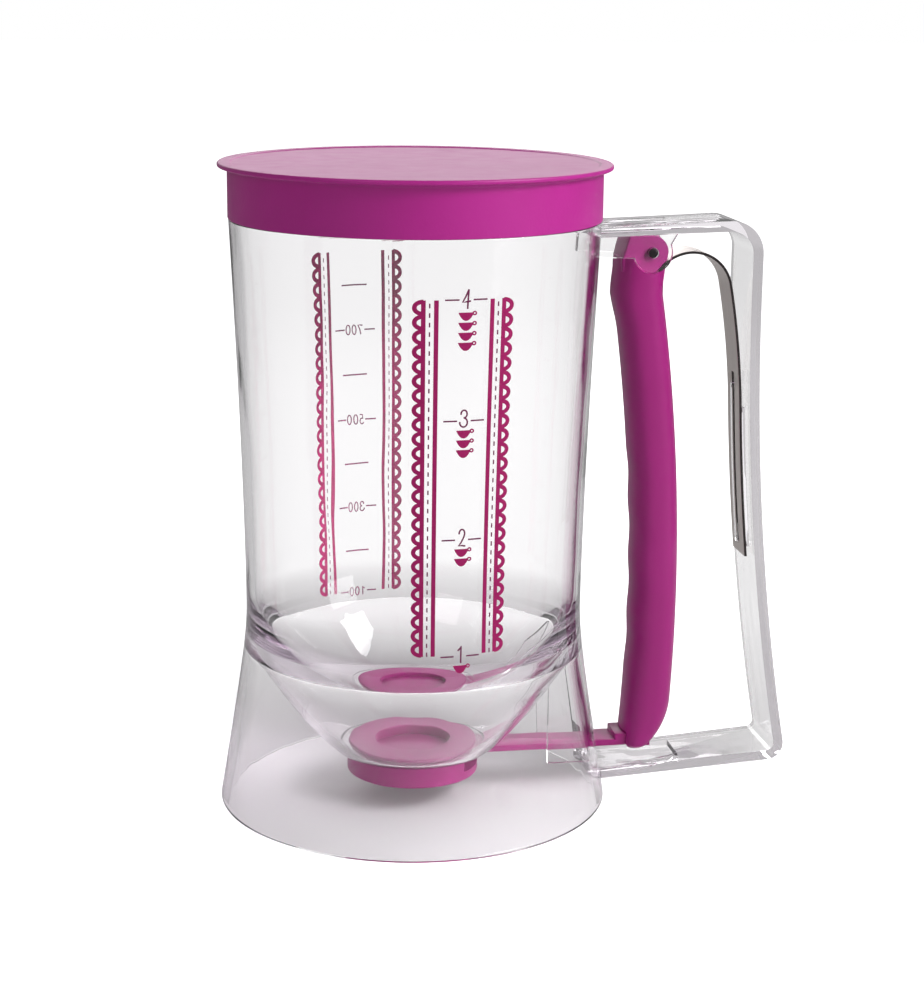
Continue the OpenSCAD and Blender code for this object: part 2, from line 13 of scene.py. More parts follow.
import bmesh
import bpy
from mathutils import Matrix, Vector


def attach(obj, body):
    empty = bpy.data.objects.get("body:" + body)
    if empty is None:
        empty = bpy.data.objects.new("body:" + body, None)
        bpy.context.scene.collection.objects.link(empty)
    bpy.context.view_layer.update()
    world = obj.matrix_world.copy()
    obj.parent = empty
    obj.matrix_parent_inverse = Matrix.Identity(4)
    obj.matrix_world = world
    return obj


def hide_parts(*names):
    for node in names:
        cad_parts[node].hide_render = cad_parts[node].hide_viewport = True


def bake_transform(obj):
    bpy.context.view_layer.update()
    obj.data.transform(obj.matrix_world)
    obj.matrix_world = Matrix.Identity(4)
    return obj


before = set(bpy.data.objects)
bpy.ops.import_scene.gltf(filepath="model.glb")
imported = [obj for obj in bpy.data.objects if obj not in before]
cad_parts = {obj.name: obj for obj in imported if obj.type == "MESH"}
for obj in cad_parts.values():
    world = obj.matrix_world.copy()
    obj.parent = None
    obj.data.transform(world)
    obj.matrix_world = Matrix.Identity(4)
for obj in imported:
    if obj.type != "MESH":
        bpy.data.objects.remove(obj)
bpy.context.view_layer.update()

print("nodes:", sorted(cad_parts))

# %% [markdown]
# ## Lengths
# A maker's drawing gives each length once, in millimetres, and everything else follows. The wall of the
# jug is one smooth curve: it flares softly below the waist, down to the foot, and widens a little above
# it, up to the shoulder. The bowl is a paraboloid that hangs inside the skirt. Its inside leaves the
# vessel's wall in an arc, and runs on as a paraboloid from where one would just meet the floor's edge.
# That angle is found by halving. Tables of points could do the same, but formulas stay smooth however
# finely they are sampled, and clear plastic shows every kink.

# %% The jug's curves
MM = 0.001
WAIST_R, WAIST_Z, SHOULDER_Z, RIM_Z = 48.8, 59.0, 171.0, 184.7
WALL, LIP_R, LIP_Z, FLOOR_R, FLOOR_Z = 2.4, 23.3, 15.0, 21.1, 16.6
FLARE, FLARE_SOFT, SHOULDER_FLARE, CROTCH_Z, KNEE_Z, KNEE_R = 8.2, 13.0, 3.7, 46.8, 65.0, 50.0


def outer_r(z):
    """Outer radius of the jug at height z."""
    if z < WAIST_Z:
        slope = FLARE / (math.hypot(WAIST_Z, FLARE_SOFT) - FLARE_SOFT)
        return WAIST_R + slope * (math.hypot(WAIST_Z - z, FLARE_SOFT) - FLARE_SOFT)
    return WAIST_R + SHOULDER_FLARE * ((z - WAIST_Z) / (SHOULDER_Z - WAIST_Z)) ** 1.5


def bowl_r(z, side):
    """Radius at height z of one side of the bowl, a paraboloid between two circles."""
    r0, z0, r1, z1 = side
    return math.sqrt(r0**2 + (r1**2 - r0**2) * (z - z0) / (z1 - z0))


def curve_point(turn):
    """Radius and height where the inside has turned through this angle, in degrees."""
    a = math.radians(turn)
    return outer_r(KNEE_Z) - WALL - KNEE_R * (1 - math.cos(a)), KNEE_Z - KNEE_R * math.sin(a)


turn_in, above, halvings = 0.0, 60.0, 40
for _ in range(halvings):
    middle = (turn_in + above) / 2
    r, z = curve_point(middle)
    if r * (r - 2 * math.tan(math.radians(middle)) * (z - FLOOR_Z)) > FLOOR_R**2:
        turn_in = middle
    else:
        above = middle
CROTCH_R = outer_r(CROTCH_Z) - WALL
OUTSIDE = (LIP_R, LIP_Z, CROTCH_R, CROTCH_Z)
INSIDE = (FLOOR_R, FLOOR_Z, *curve_point(turn_in))


def spread(a, b, n):
    """n + 1 numbers from a to b."""
    return [a + (b - a) * i / n for i in range(n + 1)]


print(f"foot {outer_r(0):.1f}, waist {WAIST_R}, shoulder {outer_r(SHOULDER_Z):.1f} mm")
print(f"the bowl's inside leaves the arc at {turn_in:.2f} degrees")

# %% [markdown]
# ## Tools for making meshes
# Moulded pieces have two families of shape: turned ones, such as the jug and the lid, and flat outlines
# with a thickness, such as the handle's band. Blender's own cylinders and cubes would need many edits to
# get there, so helpers make both families straight from a profile. Another rounds the corners of a
# profile first, because an edge with a small radius catches light as a real one does. The handle, the
# valve and the lever are the same on both sides of one upright plane, so many slabs come in pairs.


# %% Rounded profiles, turned shapes and slabs
def rounded(corners, step=18):
    """Outline through (x, z, radius) corners, with an arc in each corner that has a radius."""
    line = []
    for i, (x, z, radius) in enumerate(corners):
        here = Vector((x, z))
        if radius <= 0:
            line.append(here)
            continue
        a = (Vector(corners[i - 1][:2]) - here).normalized()
        b = (Vector(corners[(i + 1) % len(corners)][:2]) - here).normalized()
        half = a.angle(b) / 2
        centre = here + (a + b).normalized() * radius / math.sin(half)
        start = here + a * radius / math.tan(half) - centre
        sweep = start.angle_signed(here + b * radius / math.tan(half) - centre)
        turns = max(2, round(math.degrees(abs(sweep)) / step))
        for t in range(turns + 1):
            angle = -sweep * t / turns
            c, s = math.cos(angle), math.sin(angle)
            line.append(centre + Vector((start.x * c - start.y * s, start.x * s + start.y * c)))
    return line


def finish_mesh(bm, name, sharp=32):
    """Turns a bmesh in millimetres into an object in metres, shaded smooth up to the given angle."""
    bmesh.ops.remove_doubles(bm, verts=bm.verts, dist=1e-5)
    bmesh.ops.recalc_face_normals(bm, faces=bm.faces)
    bmesh.ops.scale(bm, vec=(MM, MM, MM), verts=bm.verts)
    mesh = bpy.data.meshes.new(name)
    bm.to_mesh(mesh)
    bm.free()
    obj = bpy.data.objects.new(name, mesh)
    bpy.context.scene.collection.objects.link(obj)
    shade(obj, sharp)
    return obj


def shade(obj, sharp=32):
    """Smooth shading, with an edge kept sharp where its faces meet at more than this angle."""
    obj.data.shade_smooth()
    obj.data.set_sharp_from_angle(angle=math.radians(sharp))


def turned(bm, outline, sides=224):
    """A closed outline of (radius, z), turned once round the upright axis."""
    rings = []
    for i in range(sides):
        c, s = math.cos(math.tau * i / sides), math.sin(math.tau * i / sides)
        rings.append([bm.verts.new((p[0] * c, p[0] * s, p[1])) for p in outline])
    count = len(outline)
    for i in range(sides):
        here, there = rings[i], rings[(i + 1) % sides]
        for j in range(count):
            k = (j + 1) % count
            corners = [here[j], there[j], there[k], here[k]]
            if outline[j][0] < 1e-6:
                corners.remove(there[j])
            if outline[k][0] < 1e-6:
                corners.remove(there[k])
            if len(corners) > 2:
                bm.faces.new(corners)


def slab(bm, outline, y0, y1, edge=0.0, segments=2):
    """An outline of (x, z) made solid from y0 to y1, with its long edges rounded by edge."""
    low = [bm.verts.new((p[0], y0, p[1])) for p in outline]
    high = [bm.verts.new((p[0], y1, p[1])) for p in outline]
    caps = [bm.faces.new(low), bm.faces.new(high[::-1])]
    for i in range(len(outline)):
        j = (i + 1) % len(outline)
        bm.faces.new([low[j], low[i], high[i], high[j]])
    if edge > 0:
        edges = {e for face in caps for e in face.edges}
        bmesh.ops.bevel(bm, geom=list(edges), offset=edge, segments=segments, profile=0.5,
                        affect="EDGES", clamp_overlap=True)


def one_slab(name, outline, y0, y1, edge=0.0, segments=2):
    """A slab as an object of its own."""
    bm = bmesh.new()
    slab(bm, outline, y0, y1, edge, segments)
    return finish_mesh(bm, name)


def both_sides(inner, outer):
    """The span from inner to outer on the near and then on the far side of the handle's plane."""
    return (-outer, -inner), (inner, outer)


def raised_plan(name, plan, z, height):
    """A plan of (x, y) made solid from z upwards."""
    bm = bmesh.new()
    bm.faces.new([bm.verts.new((x, y, z)) for x, y in plan])
    raised = bmesh.ops.extrude_face_region(bm, geom=bm.faces[:])
    tops = [v for v in raised["geom"] if isinstance(v, bmesh.types.BMVert)]
    bmesh.ops.translate(bm, vec=(0, 0, height), verts=tops)
    return finish_mesh(bm, name)


# %% [markdown]
# ## Joining and cutting
# A moulding is one piece of plastic, and clear plastic shows any face left inside it. So shapes are
# joined with a Boolean modifier, which removes what is inside, and its result becomes the mesh. Cutting
# works the same way. Simply putting the meshes into one object would leave walls inside the walls. Where
# many edges meet, joins leave points a hair apart, and welding those keeps the mesh closed.


# %% Boolean joins and cuts
def apply_modifier(obj):
    """Makes what the object's modifier gives its own mesh."""
    graph = bpy.context.evaluated_depsgraph_get()
    old, obj.data = obj.data, bpy.data.meshes.new_from_object(obj.evaluated_get(graph))
    obj.modifiers.clear()
    bpy.data.meshes.remove(old)


def boolean(obj, other, operation):
    """Joins the other object to obj, or cuts it out of obj, and removes the other."""
    modifier = obj.modifiers.new("bool", "BOOLEAN")
    modifier.operation, modifier.object, modifier.solver = operation, other, "EXACT"
    apply_modifier(obj)
    mesh = other.data
    bpy.data.objects.remove(other)
    bpy.data.meshes.remove(mesh)
    return obj


def weld(obj, distance=0.0001):
    """Merges points that lie closer than this many millimetres, as joins leave some along an edge."""
    bm = bmesh.new()
    bm.from_mesh(obj.data)
    bmesh.ops.remove_doubles(bm, verts=bm.verts, dist=distance * MM)
    bm.to_mesh(obj.data)
    bm.free()


def join(obj, other):
    return boolean(obj, other, "UNION")


def cut(obj, other):
    return boolean(obj, other, "DIFFERENCE")


# %% [markdown]
# ## The camera
# The camera stands where the object is seen from a little above, with the handle to the right. A
# longer lens far away and a shorter one nearby can frame the same object, but the rims and the foot only
# get the right ellipses from one distance, so position and focal length belong together.

# %% Camera
FRAME_W, FRAME_H = 924, 1000
FOCAL_PIXELS = 2226.4
CAMERA_AT = (-0.0928, -0.6209, 0.2420)
YAW, PITCH, ROLL = math.radians(9.77), math.radians(13.68), 0.0103

camera_data = bpy.data.cameras.new("view_camera")
SENSOR_H = 24
camera_data.sensor_fit, camera_data.sensor_height = "VERTICAL", SENSOR_H
camera_data.sensor_width = SENSOR_H * FRAME_W / FRAME_H
camera_data.lens = FOCAL_PIXELS / FRAME_H * SENSOR_H
camera_data.clip_start, camera_data.clip_end = 0.01, 30
camera = bpy.data.objects.new("view_camera", camera_data)
bpy.context.scene.collection.objects.link(camera)

ahead = Vector((math.sin(YAW) * math.cos(PITCH), math.cos(YAW) * math.cos(PITCH), -math.sin(PITCH)))
level = Vector((math.cos(YAW), -math.sin(YAW), 0))
upright = level.cross(ahead)
right = math.cos(ROLL) * level + math.sin(ROLL) * upright
up = math.cos(ROLL) * upright - math.sin(ROLL) * level
camera.matrix_world = Matrix.Translation(CAMERA_AT) @ Matrix(
    (right, up, -ahead)).transposed().to_4x4()
bpy.context.scene.camera = camera
print(f"lens {camera_data.lens:.1f} mm on a {camera_data.sensor_height:.0f} mm high sensor")

# %% [markdown]
# ## Finishes
# Every finish is a node material with detail that a mould or a tool would leave. A helper wires the
# parts that all of them share: a Principled shader, noise for slight changes of gloss, and a fine bump.
# Image textures could carry the same detail, but noise works on any mesh and at any distance.


# %% A helper for node materials
class Finish:
    """A node material that is built step by step."""

    def __init__(self, name):
        self.material = bpy.data.materials.new(name)
        self.material.use_nodes = True
        self.nodes, self.links = self.material.node_tree.nodes, self.material.node_tree.links
        self.shader = self.nodes["Principled BSDF"]
        self.output = self.nodes["Material Output"]
        self.place = self.nodes.new("ShaderNodeTexCoord").outputs["Object"]

    def node(self, kind, **settings):
        node = self.nodes.new("ShaderNode" + kind)
        for key, value in settings.items():
            setattr(node, key, value)
        return node

    def link(self, source, target):
        self.links.new(source, target)

    def noise(self, scale, detail=3.0, stretch=(1, 1, 1)):
        """Noise with so many cells to a metre, which may be stretched along an axis."""
        mapping, noise = self.node("Mapping"), self.node("TexNoise")
        mapping.inputs["Scale"].default_value = stretch
        noise.inputs["Scale"].default_value = scale
        noise.inputs["Detail"].default_value = detail
        self.link(self.place, mapping.inputs["Vector"])
        self.link(mapping.outputs["Vector"], noise.inputs["Vector"])
        return noise.outputs["Fac"]

    def between(self, factor, low, high, start=0.0, end=1.0):
        """The factor from start to end as a number from low to high."""
        node = self.node("MapRange")
        node.inputs["From Min"].default_value, node.inputs["From Max"].default_value = start, end
        node.inputs["To Min"].default_value, node.inputs["To Max"].default_value = low, high
        self.link(factor, node.inputs["Value"])
        return node.outputs["Result"]

    def mix(self, factor, low, high):
        """The factor from 0 to 1 as a colour from low to high."""
        node = self.node("Mix", data_type="RGBA")
        node.inputs["A"].default_value, node.inputs["B"].default_value = linear(low), linear(high)
        self.link(factor, node.inputs["Factor"])
        return node.outputs["Result"]

    def bump(self, height, distance, strength=1.0):
        """Bump of so many metres from a height of 0 to 1."""
        node = self.node("Bump")
        node.inputs["Distance"].default_value, node.inputs["Strength"].default_value = distance, strength
        self.link(height, node.inputs["Height"])
        self.link(node.outputs["Normal"], self.shader.inputs["Normal"])

    def set(self, **values):
        for key, value in values.items():
            self.shader.inputs[key.replace("_", " ")].default_value = value
        return self


def linear(colour):
    """A colour written as 0 to 255, as the scene's linear light."""
    parts = [c / 255 for c in colour]
    return [c / 12.92 if c < 0.04045 else ((c + 0.055) / 1.055) ** 2.4 for c in parts] + [1.0]


def wear(obj, finish):
    """Gives the object this one finish."""
    obj.data.materials.clear()
    obj.data.materials.append(finish.material)
    return obj


# %% [markdown]
# ### Clear plastic
# The jug is clear styrene: glossy, colourless, and faintly lilac where light runs a long way inside it,
# as along an edge. A tint painted on the surface would be the same everywhere, so the colour comes from
# absorption in the volume. A wall seen edge on also looks darker than the white round it, and a Layer
# Weight mix paints that darkening into the base colour as painted shade. The mould leaves long, very
# shallow waves, which make reflections swim. An index a little below that of styrene keeps the thick
# ring at the waist from turning black.
# Lamps would need far too many samples to find their way through, so rays to a lamp see a plain
# Transparent shader instead. The jug then casts the pale shadow that a clear thing does.

# %% Clear plastic
clear = Finish("clear_styrene")
clear.set(Transmission_Weight=1.0, IOR=1.5, Roughness=0.0)
# Painted shade: a Layer Weight mix darkens the base colour to lilac grey where a wall is seen edge on.
edge_on = clear.node("LayerWeight")
edge_on.inputs["Blend"].default_value = 0.15
painted_edge_shade = clear.between(edge_on.outputs["Facing"], 0, 1, 0.35, 0.75)
clear.link(clear.mix(painted_edge_shade, (255, 255, 255), (178, 168, 180)), clear.shader.inputs["Base Color"])
clear.bump(clear.noise(42, 2.0, (1, 1, 0.35)), 0.00028)

lamp_ray = clear.node("LightPath")
passing = clear.node("BsdfTransparent")
passing.inputs["Color"].default_value = (0.93, 0.91, 0.93, 1)
swap = clear.node("MixShader")
clear.link(lamp_ray.outputs["Is Shadow Ray"], swap.inputs["Fac"])
clear.link(clear.shader.outputs["BSDF"], swap.inputs[1])
clear.link(passing.outputs["BSDF"], swap.inputs[2])
clear.link(swap.outputs["Shader"], clear.output.inputs["Surface"])

depth = clear.node("VolumeAbsorption")
depth.inputs["Color"].default_value = (0.80, 0.73, 0.80, 1)
depth.inputs["Density"].default_value = 26
clear.link(depth.outputs["Volume"], clear.output.inputs["Volume"])
print("clear plastic:", len(clear.nodes), "nodes")

# %% [markdown]
# ### Magenta plastics
# The lid is soft polyethylene with a dull, waxy gloss. The lever and the valve are a harder plastic with
# a fine spark-eroded grain. Both are one pigment, but the lever and the valve are given darker tones than
# the lid. Real pigment never mixes perfectly, so a slow noise moves the colour a little, and another
# changes the gloss.

# %% Lid, lever and valve plastics


def magenta(name, deep, light, roughness, grain, grain_depth, **extra):
    """A pigmented plastic between two tones, with a grain of so many cells to a metre."""
    finish = Finish(name)
    finish.link(finish.mix(finish.noise(38, 4.0), deep, light), finish.shader.inputs["Base Color"])
    finish.link(finish.between(finish.noise(160, 3.0), *roughness), finish.shader.inputs["Roughness"])
    finish.bump(finish.noise(grain, 2.0), grain_depth)
    return finish.set(**extra)


lid_plastic = magenta("lid_polyethylene", (160, 12, 121), (173, 20, 135), (0.36, 0.48), 1400, 0.00003,
                      IOR=1.5)
lever_plastic = magenta("lever_polypropylene", (138, 8, 100), (152, 14, 114), (0.34, 0.44), 2600, 0.00002,
                        IOR=1.5)
valve_plastic = magenta("valve_polypropylene", (134, 10, 96), (148, 16, 108), (0.28, 0.38), 2200, 0.000015,
                        IOR=1.5)

print("magentas:", [f.material.name for f in (lid_plastic, lever_plastic, valve_plastic)])

# %% [markdown]
# ### Steel
# The leaf spring is rolled strip, so its grain runs along it, up the handle. Its sides are sheared, and
# are given a much darker steel than its faces. The pin is turned and dull, and sits in the shade of its
# hole; its steel is made nearly black as painted shade for that hole. Noise that is stretched along the
# strip gives the rolled lines, in the gloss and in the bump.

# %% Spring and pin steel


def steel(name, noise, dark, light, roughness):
    """Bare steel whose tone and gloss follow one noise."""
    finish = Finish(name)
    grain = finish.noise(*noise)
    finish.link(finish.mix(grain, dark, light), finish.shader.inputs["Base Color"])
    finish.link(finish.between(grain, *roughness), finish.shader.inputs["Roughness"])
    finish.set(Metallic=1.0)
    return finish, grain


spring_steel, rolled = steel("rolled_spring_steel", (900, 3.0, (1, 1, 0.02)), (188, 180, 176),
                             (220, 212, 208), (0.24, 0.42))
spring_steel.bump(rolled, 0.00001)
edge_steel, _ = steel("sheared_edge_steel", (2500, 2.0, (1, 1, 0.2)), (44, 41, 42), (72, 67, 67), (0.4, 0.6))
# Painted shade: the pin's steel is made nearly black, for the shade deep in its hole.
pin_steel_painted_shade, _ = steel("turned_pin_steel_painted_shade", (1200, 2.0, (1, 0.05, 1)), (46, 42, 44), (70, 66, 68), (0.3, 0.5))
print("steels:", [f.material.name for f in (spring_steel, edge_steel, pin_steel_painted_shade)])

# %% [markdown]
# ### Ink
# The scales are screen printed on the outside of the jug: a crimson for the borders and cups, and a
# darker plum for the fine lines. Ink is opaque with a soft gloss, and never quite even. The back scale is
# read through the jug, where less light reaches it, so its inks are lighter copies of the same inks, as
# painted light that makes up for the light it lacks.

# %% Printing inks


def ink(name, thin, thick):
    """A printing ink between the tones of a thin and a thick layer."""
    finish = Finish(name)
    finish.link(finish.mix(finish.noise(500, 4.0), thin, thick), finish.shader.inputs["Base Color"])
    finish.link(finish.between(finish.noise(900), 0.4, 0.6), finish.shader.inputs["Roughness"])
    finish.bump(finish.noise(3000), 0.000004)
    return finish.set(Specular_IOR_Level=0.3)


crimson_ink = ink("crimson_ink", (152, 10, 90), (140, 6, 78))
plum_ink = ink("plum_ink", (112, 34, 78), (92, 28, 64))
# Painted light: the back scale's inks are the front inks made lighter, for the light that the jug keeps from
# them.
back_ink_painted_light = ink("crimson_ink_back_painted_light", (182, 12, 106), (168, 8, 94))
back_plum_ink_painted_light = ink("plum_ink_back_painted_light", (150, 44, 104), (128, 36, 88))
print("finishes so far:", len(bpy.data.materials))

# %% [markdown]
# ## The clear moulding
# On the real jug the vessel, the bowl, the skirt and the handle are one shot of plastic. The turned part
# is one closed profile that goes up the outside, over the rim, down the inside, through the bowl and back
# down the inside of the skirt. The handle and the small ribs are slabs that reach a little way into the
# wall, and are then joined to it. One outline also gives the V where the bowl meets the skirt.

# %% Profile of vessel, bowl and skirt
BORE_R, RIM_R, OUTLET_HOLE_R = outer_r(SHOULDER_Z) - WALL, 51.3, 16.5

corners = [(outer_r(0), 0.0, 0.7)]
corners += [(outer_r(z), z, 0) for z in spread(1.2, SHOULDER_Z - 0.6, 84)]
corners += [(outer_r(SHOULDER_Z), SHOULDER_Z, 0.3), (RIM_R, SHOULDER_Z, 0.3), (RIM_R, RIM_Z, 0.45),
            (BORE_R, RIM_Z, 0.45)]
corners += [(outer_r(z) - WALL, z, 0) for z in spread(SHOULDER_Z, KNEE_Z, 54)]
corners += [(*curve_point(a), 0) for a in spread(0, turn_in, 24)[1:]]
corners += [(bowl_r(z, INSIDE), z, 0) for z in spread(INSIDE[3], FLOOR_Z + 1.2, 32)[1:]]
corners += [(FLOOR_R, FLOOR_Z, 1.0), (OUTLET_HOLE_R, FLOOR_Z, 0.3)]
corners += [(OUTLET_HOLE_R, LIP_Z, 0.3), (LIP_R, LIP_Z, 0.8)]
corners += [(bowl_r(z, OUTSIDE), z, 0) for z in spread(LIP_Z + 1.2, CROTCH_Z - 1.0, 48)]
corners += [(CROTCH_R, CROTCH_Z, 0.25)]
corners += [(outer_r(z) - WALL, z, 0) for z in spread(CROTCH_Z - 1.6, 1.2, 34)]
corners += [(outer_r(0) - WALL, 0.0, 0.5)]

bm = bmesh.new()
turned(bm, rounded(corners))
jug = finish_mesh(bm, "clear_moulding", 30)
print("turned moulding:", len(jug.data.polygons), "faces")

# %% [markdown]
# ### The handle
# The loop is a band 22 mm wide and 3 mm thick, bent round two corners. Its grip leans outwards towards
# the foot. The same line, set in by the band's thickness, gives the inside of the loop, so the band keeps
# its thickness round the corners. All its long edges have the small radius that a mould leaves.

# %% Line of the handle's band
BAND_W, BAND_T = 22.0, 3.0
GRIP_X, GRIP_FLARE, GRIP_KNEE_Z, FOOT_R = 98.8, 12.3, 150.0, outer_r(0)
TOP_CORNER_R, LOW_CORNER_R, LOW_LEAN = 9.5, 5.0, 10.0
TOP_DROP, TOP_RISE, LOW_Z, LOW_RISE = 2.2, 0.03, 4.4, 0.064


def facing(degrees):
    """The direction at this angle, as a vector one millimetre long."""
    return Vector((math.cos(math.radians(degrees)), math.sin(math.radians(degrees))))


def arc(centre, radius, a0, a1, n):
    """Points round a centre, from one angle to another."""
    return [centre + radius * facing(a) for a in spread(a0, a1, n)]


def top_z(x):
    """Height of the top arm's upper face."""
    return SHOULDER_Z - TOP_DROP + TOP_RISE * (x - WAIST_R)


def low_z(x):
    """Height of the low arm's lower face."""
    return LOW_Z + LOW_RISE * (x - FOOT_R)


BEND_Z = low_z(GRIP_X + GRIP_FLARE) + LOW_CORNER_R * (1 + math.sin(math.radians(LOW_LEAN)))


def grip_r(z):
    """Distance from the axis to the outer face of the grip at height z."""
    return GRIP_X + (0 if z > GRIP_KNEE_Z else GRIP_FLARE * ((GRIP_KNEE_Z - z) / (GRIP_KNEE_Z - BEND_Z)) ** 2)


def grip_lean(z):
    """How far the grip leans outwards at height z, in degrees."""
    return math.degrees(math.atan(2 * GRIP_FLARE * (GRIP_KNEE_Z - z) / (GRIP_KNEE_Z - BEND_Z) ** 2))


top_corner = Vector((GRIP_X, top_z(GRIP_X))) - Vector((TOP_CORNER_R, TOP_CORNER_R))
low_corner = Vector((grip_r(BEND_Z), BEND_Z)) - LOW_CORNER_R * facing(LOW_LEAN)


def band_line(inset, top_root, low_root):
    """One face of the band, set in from its outer face."""
    line = [Vector((top_root, top_z(top_root) - inset))]
    line += arc(top_corner, TOP_CORNER_R - inset, 90, 0, 16)
    line += [Vector((grip_r(z) - inset, z)) for z in spread(GRIP_KNEE_Z, BEND_Z, 40)]
    line += arc(low_corner, LOW_CORNER_R - inset, LOW_LEAN, -90, 12)[1:]
    return line + [Vector((low_root, low_z(low_root) + inset))]


TOP_ROOT, LOW_ROOT = 50.4, 52.9
loop = band_line(0, TOP_ROOT, LOW_ROOT) + band_line(BAND_T, TOP_ROOT, LOW_ROOT)[::-1]
join(jug, one_slab("band", loop, -BAND_W / 2, BAND_W / 2, 0.7, 3))
print("with the handle's band:", len(jug.data.polygons), "faces")

# %% [markdown]
# ### Lugs, pad and rib
# Two lugs under the top arm carry the pivot pin. Inside the grip a pad carries the leaf spring, and a
# thin rib with a hook stands through the spring's slot, so that the spring can't slip off. They are small
# slabs of the same moulding.

# %% Lugs for the pivot
PIVOT = Vector((67.2, 161.148))
PIN_R, LUG_R, LUG_IN, LUG_T, LUG_H, LUG_FLARE = 1.5, 5.6, 6.4, 2.1, 5.9, 1.7
BURIED = 0.6
lug_z = top_z(WAIST_R) - BAND_T - LUG_H
lug_top = top_z(PIVOT.x) - BAND_T + BURIED
lug_low = math.degrees(math.asin((lug_z - PIVOT.y) / LUG_R))
lug = [Vector((TOP_ROOT + 0.4, lug_z))] + arc(PIVOT, LUG_R, 180 - lug_low, 360 + 25, 24)
lug += [Vector((PIVOT.x + LUG_R + LUG_FLARE, lug_top)), Vector((TOP_ROOT + 0.4, lug_top))]
for y0, y1 in both_sides(LUG_IN, LUG_IN + LUG_T):
    join(jug, one_slab("lug", lug, y0, y1, 0.25))
CUTTER_HALF = 15.0
cut(jug, one_slab("hole", arc(PIVOT, PIN_R, 0, 345, 23), -CUTTER_HALF, CUTTER_HALF))
print("with the lugs:", len(jug.data.polygons), "faces")

# %% [markdown]
# ### The line of the leaf spring
# The strip lies on its pad, leaves it in a long curve, turns over the top and comes down into the
# lever. It is four arcs that meet without a kink. Where the strip leaves the pad is not a free choice:
# the arcs have to end inside the lever, so that height is found by repeating one step.

# %% Arcs of the spring
STRIP_W, STRIP_T, PAD_T, SLOT_W, STRIP_GAP = 12.0, 0.8, 0.8, 2.4, 0.1
LONG_R, TAIL_R, TAIL_L = 250.0, 12.9, 3.0
BEND_FROM, BEND_TO, TAIL_FROM = 11.0, 102.0, 178.0
tail = PIVOT - Vector((0.5, 12.3))
bend_span, tail_span = facing(BEND_TO) - facing(BEND_FROM), facing(TAIL_FROM) - facing(BEND_TO)


def pad_x(z):
    """Distance from the axis to the pad's face at height z."""
    return grip_r(z) - BAND_T - PAD_T


def rest_of_way(z):
    """What the bend still has to span if the strip leaves its pad at height z."""
    long_span = facing(BEND_FROM) - facing(grip_lean(z))
    return tail - Vector((pad_x(z) - STRIP_GAP, z)) - LONG_R * long_span - TAIL_R * tail_span


SEAT_L = 45.0
pad_top = PIVOT.y - SEAT_L
for _ in range(16):
    way = rest_of_way(pad_top)
    bend_radius = way.x / bend_span.x
    pad_top += way.y - bend_radius * bend_span.y
lean = grip_lean(pad_top)
long_centre = Vector((pad_x(pad_top) - STRIP_GAP, pad_top)) - LONG_R * facing(lean)
bend_centre = long_centre + (LONG_R - bend_radius) * facing(BEND_FROM)
tail_centre = bend_centre + (bend_radius - TAIL_R) * facing(BEND_TO)
strip_foot = pad_top - SEAT_L
print(f"spring on its pad from {strip_foot:.1f} to {pad_top:.1f} mm, bend radius {bend_radius:.1f} mm")


def tail_line(inset, length, n=14):
    """One face of the spring's end inside the lever, which runs on straight by length."""
    end = tail_centre + (TAIL_R - inset) * facing(TAIL_FROM)
    return arc(tail_centre, TAIL_R - inset, BEND_TO, TAIL_FROM, n) + [end + length * facing(TAIL_FROM + 90)]


def strip_line(inset):
    """One face of the strip, from its foot on the pad to its end in the lever."""
    line = [Vector((pad_x(z) - STRIP_GAP - inset, z)) for z in spread(strip_foot, pad_top, 30)]
    line += arc(long_centre, LONG_R - inset, lean, BEND_FROM, 26)[1:]
    line += arc(bend_centre, bend_radius - inset, BEND_FROM, BEND_TO, 24)[1:]
    return line + tail_line(inset, TAIL_L)[1:]


# %% Pad, rib and hook
SLOT_END, SLOT_OVER, RIB_DROP, RIB_PROUD = 3.0, 10.0, 3.5, 0.7
slot_low, slot_high = strip_foot + SLOT_END, pad_top + SLOT_OVER
rib_top, rib_h = slot_high - RIB_DROP, STRIP_GAP + STRIP_T + RIB_PROUD
pad = [Vector((pad_x(z), z)) for z in spread(slot_low, pad_top, 20)]
pad += [Vector((grip_r(z) - BAND_T + BURIED, z)) for z in spread(pad_top, slot_low, 20)]
join(jug, one_slab("pad", pad, -STRIP_W / 2, STRIP_W / 2, 0.3))
rib = [Vector((pad_x(z) - rib_h, z)) for z in spread(slot_low + 0.5, rib_top, 24)]
rib += [Vector((grip_r(z) - BAND_T + 0.55, z)) for z in spread(rib_top, slot_low + 0.5, 24)]
join(jug, one_slab("rib", rib, -(SLOT_W - 0.8) / 2, (SLOT_W - 0.8) / 2, 0.2))
hook_z = slot_low + 6
hook_x = pad_x(hook_z) - STRIP_GAP - STRIP_T - 0.15
hook = [(pad_x(slot_low) - rib_h - 0.05, slot_low + 0.4), (pad_x(slot_low) - rib_h - 0.05, slot_low + 3),
        (hook_x, hook_z), (hook_x, slot_low + 0.4)]
join(jug, one_slab("hook", hook, -SLOT_W / 2 - 1.2, SLOT_W / 2 + 1.2))
print("with pad, rib and hook:", len(jug.data.polygons), "faces")

# %% [markdown]
# ### Guide plates and window
# The valve's arm leaves the skirt through a window over the handle's lower arm. Two upright plates
# between the bowl and the skirt guide its barbed end. Each plate is a slab whose top follows the bowl and
# whose outer edge follows the wall. The window is cut last, through wall and all.

# %% Guide plates and window
GUIDE_X, GUIDE_Z, GUIDE_IN, GUIDE_T = 39.3, 9.3, 6.95, 1.4
GUIDE_MID = GUIDE_IN + GUIDE_T / 2
WINDOW_TOP, SILL_Z = 17.4, 7.4


def at_plate(radius):
    """Distance along the handle at which a plate meets a circle of this radius."""
    return math.sqrt(radius**2 - GUIDE_MID**2)


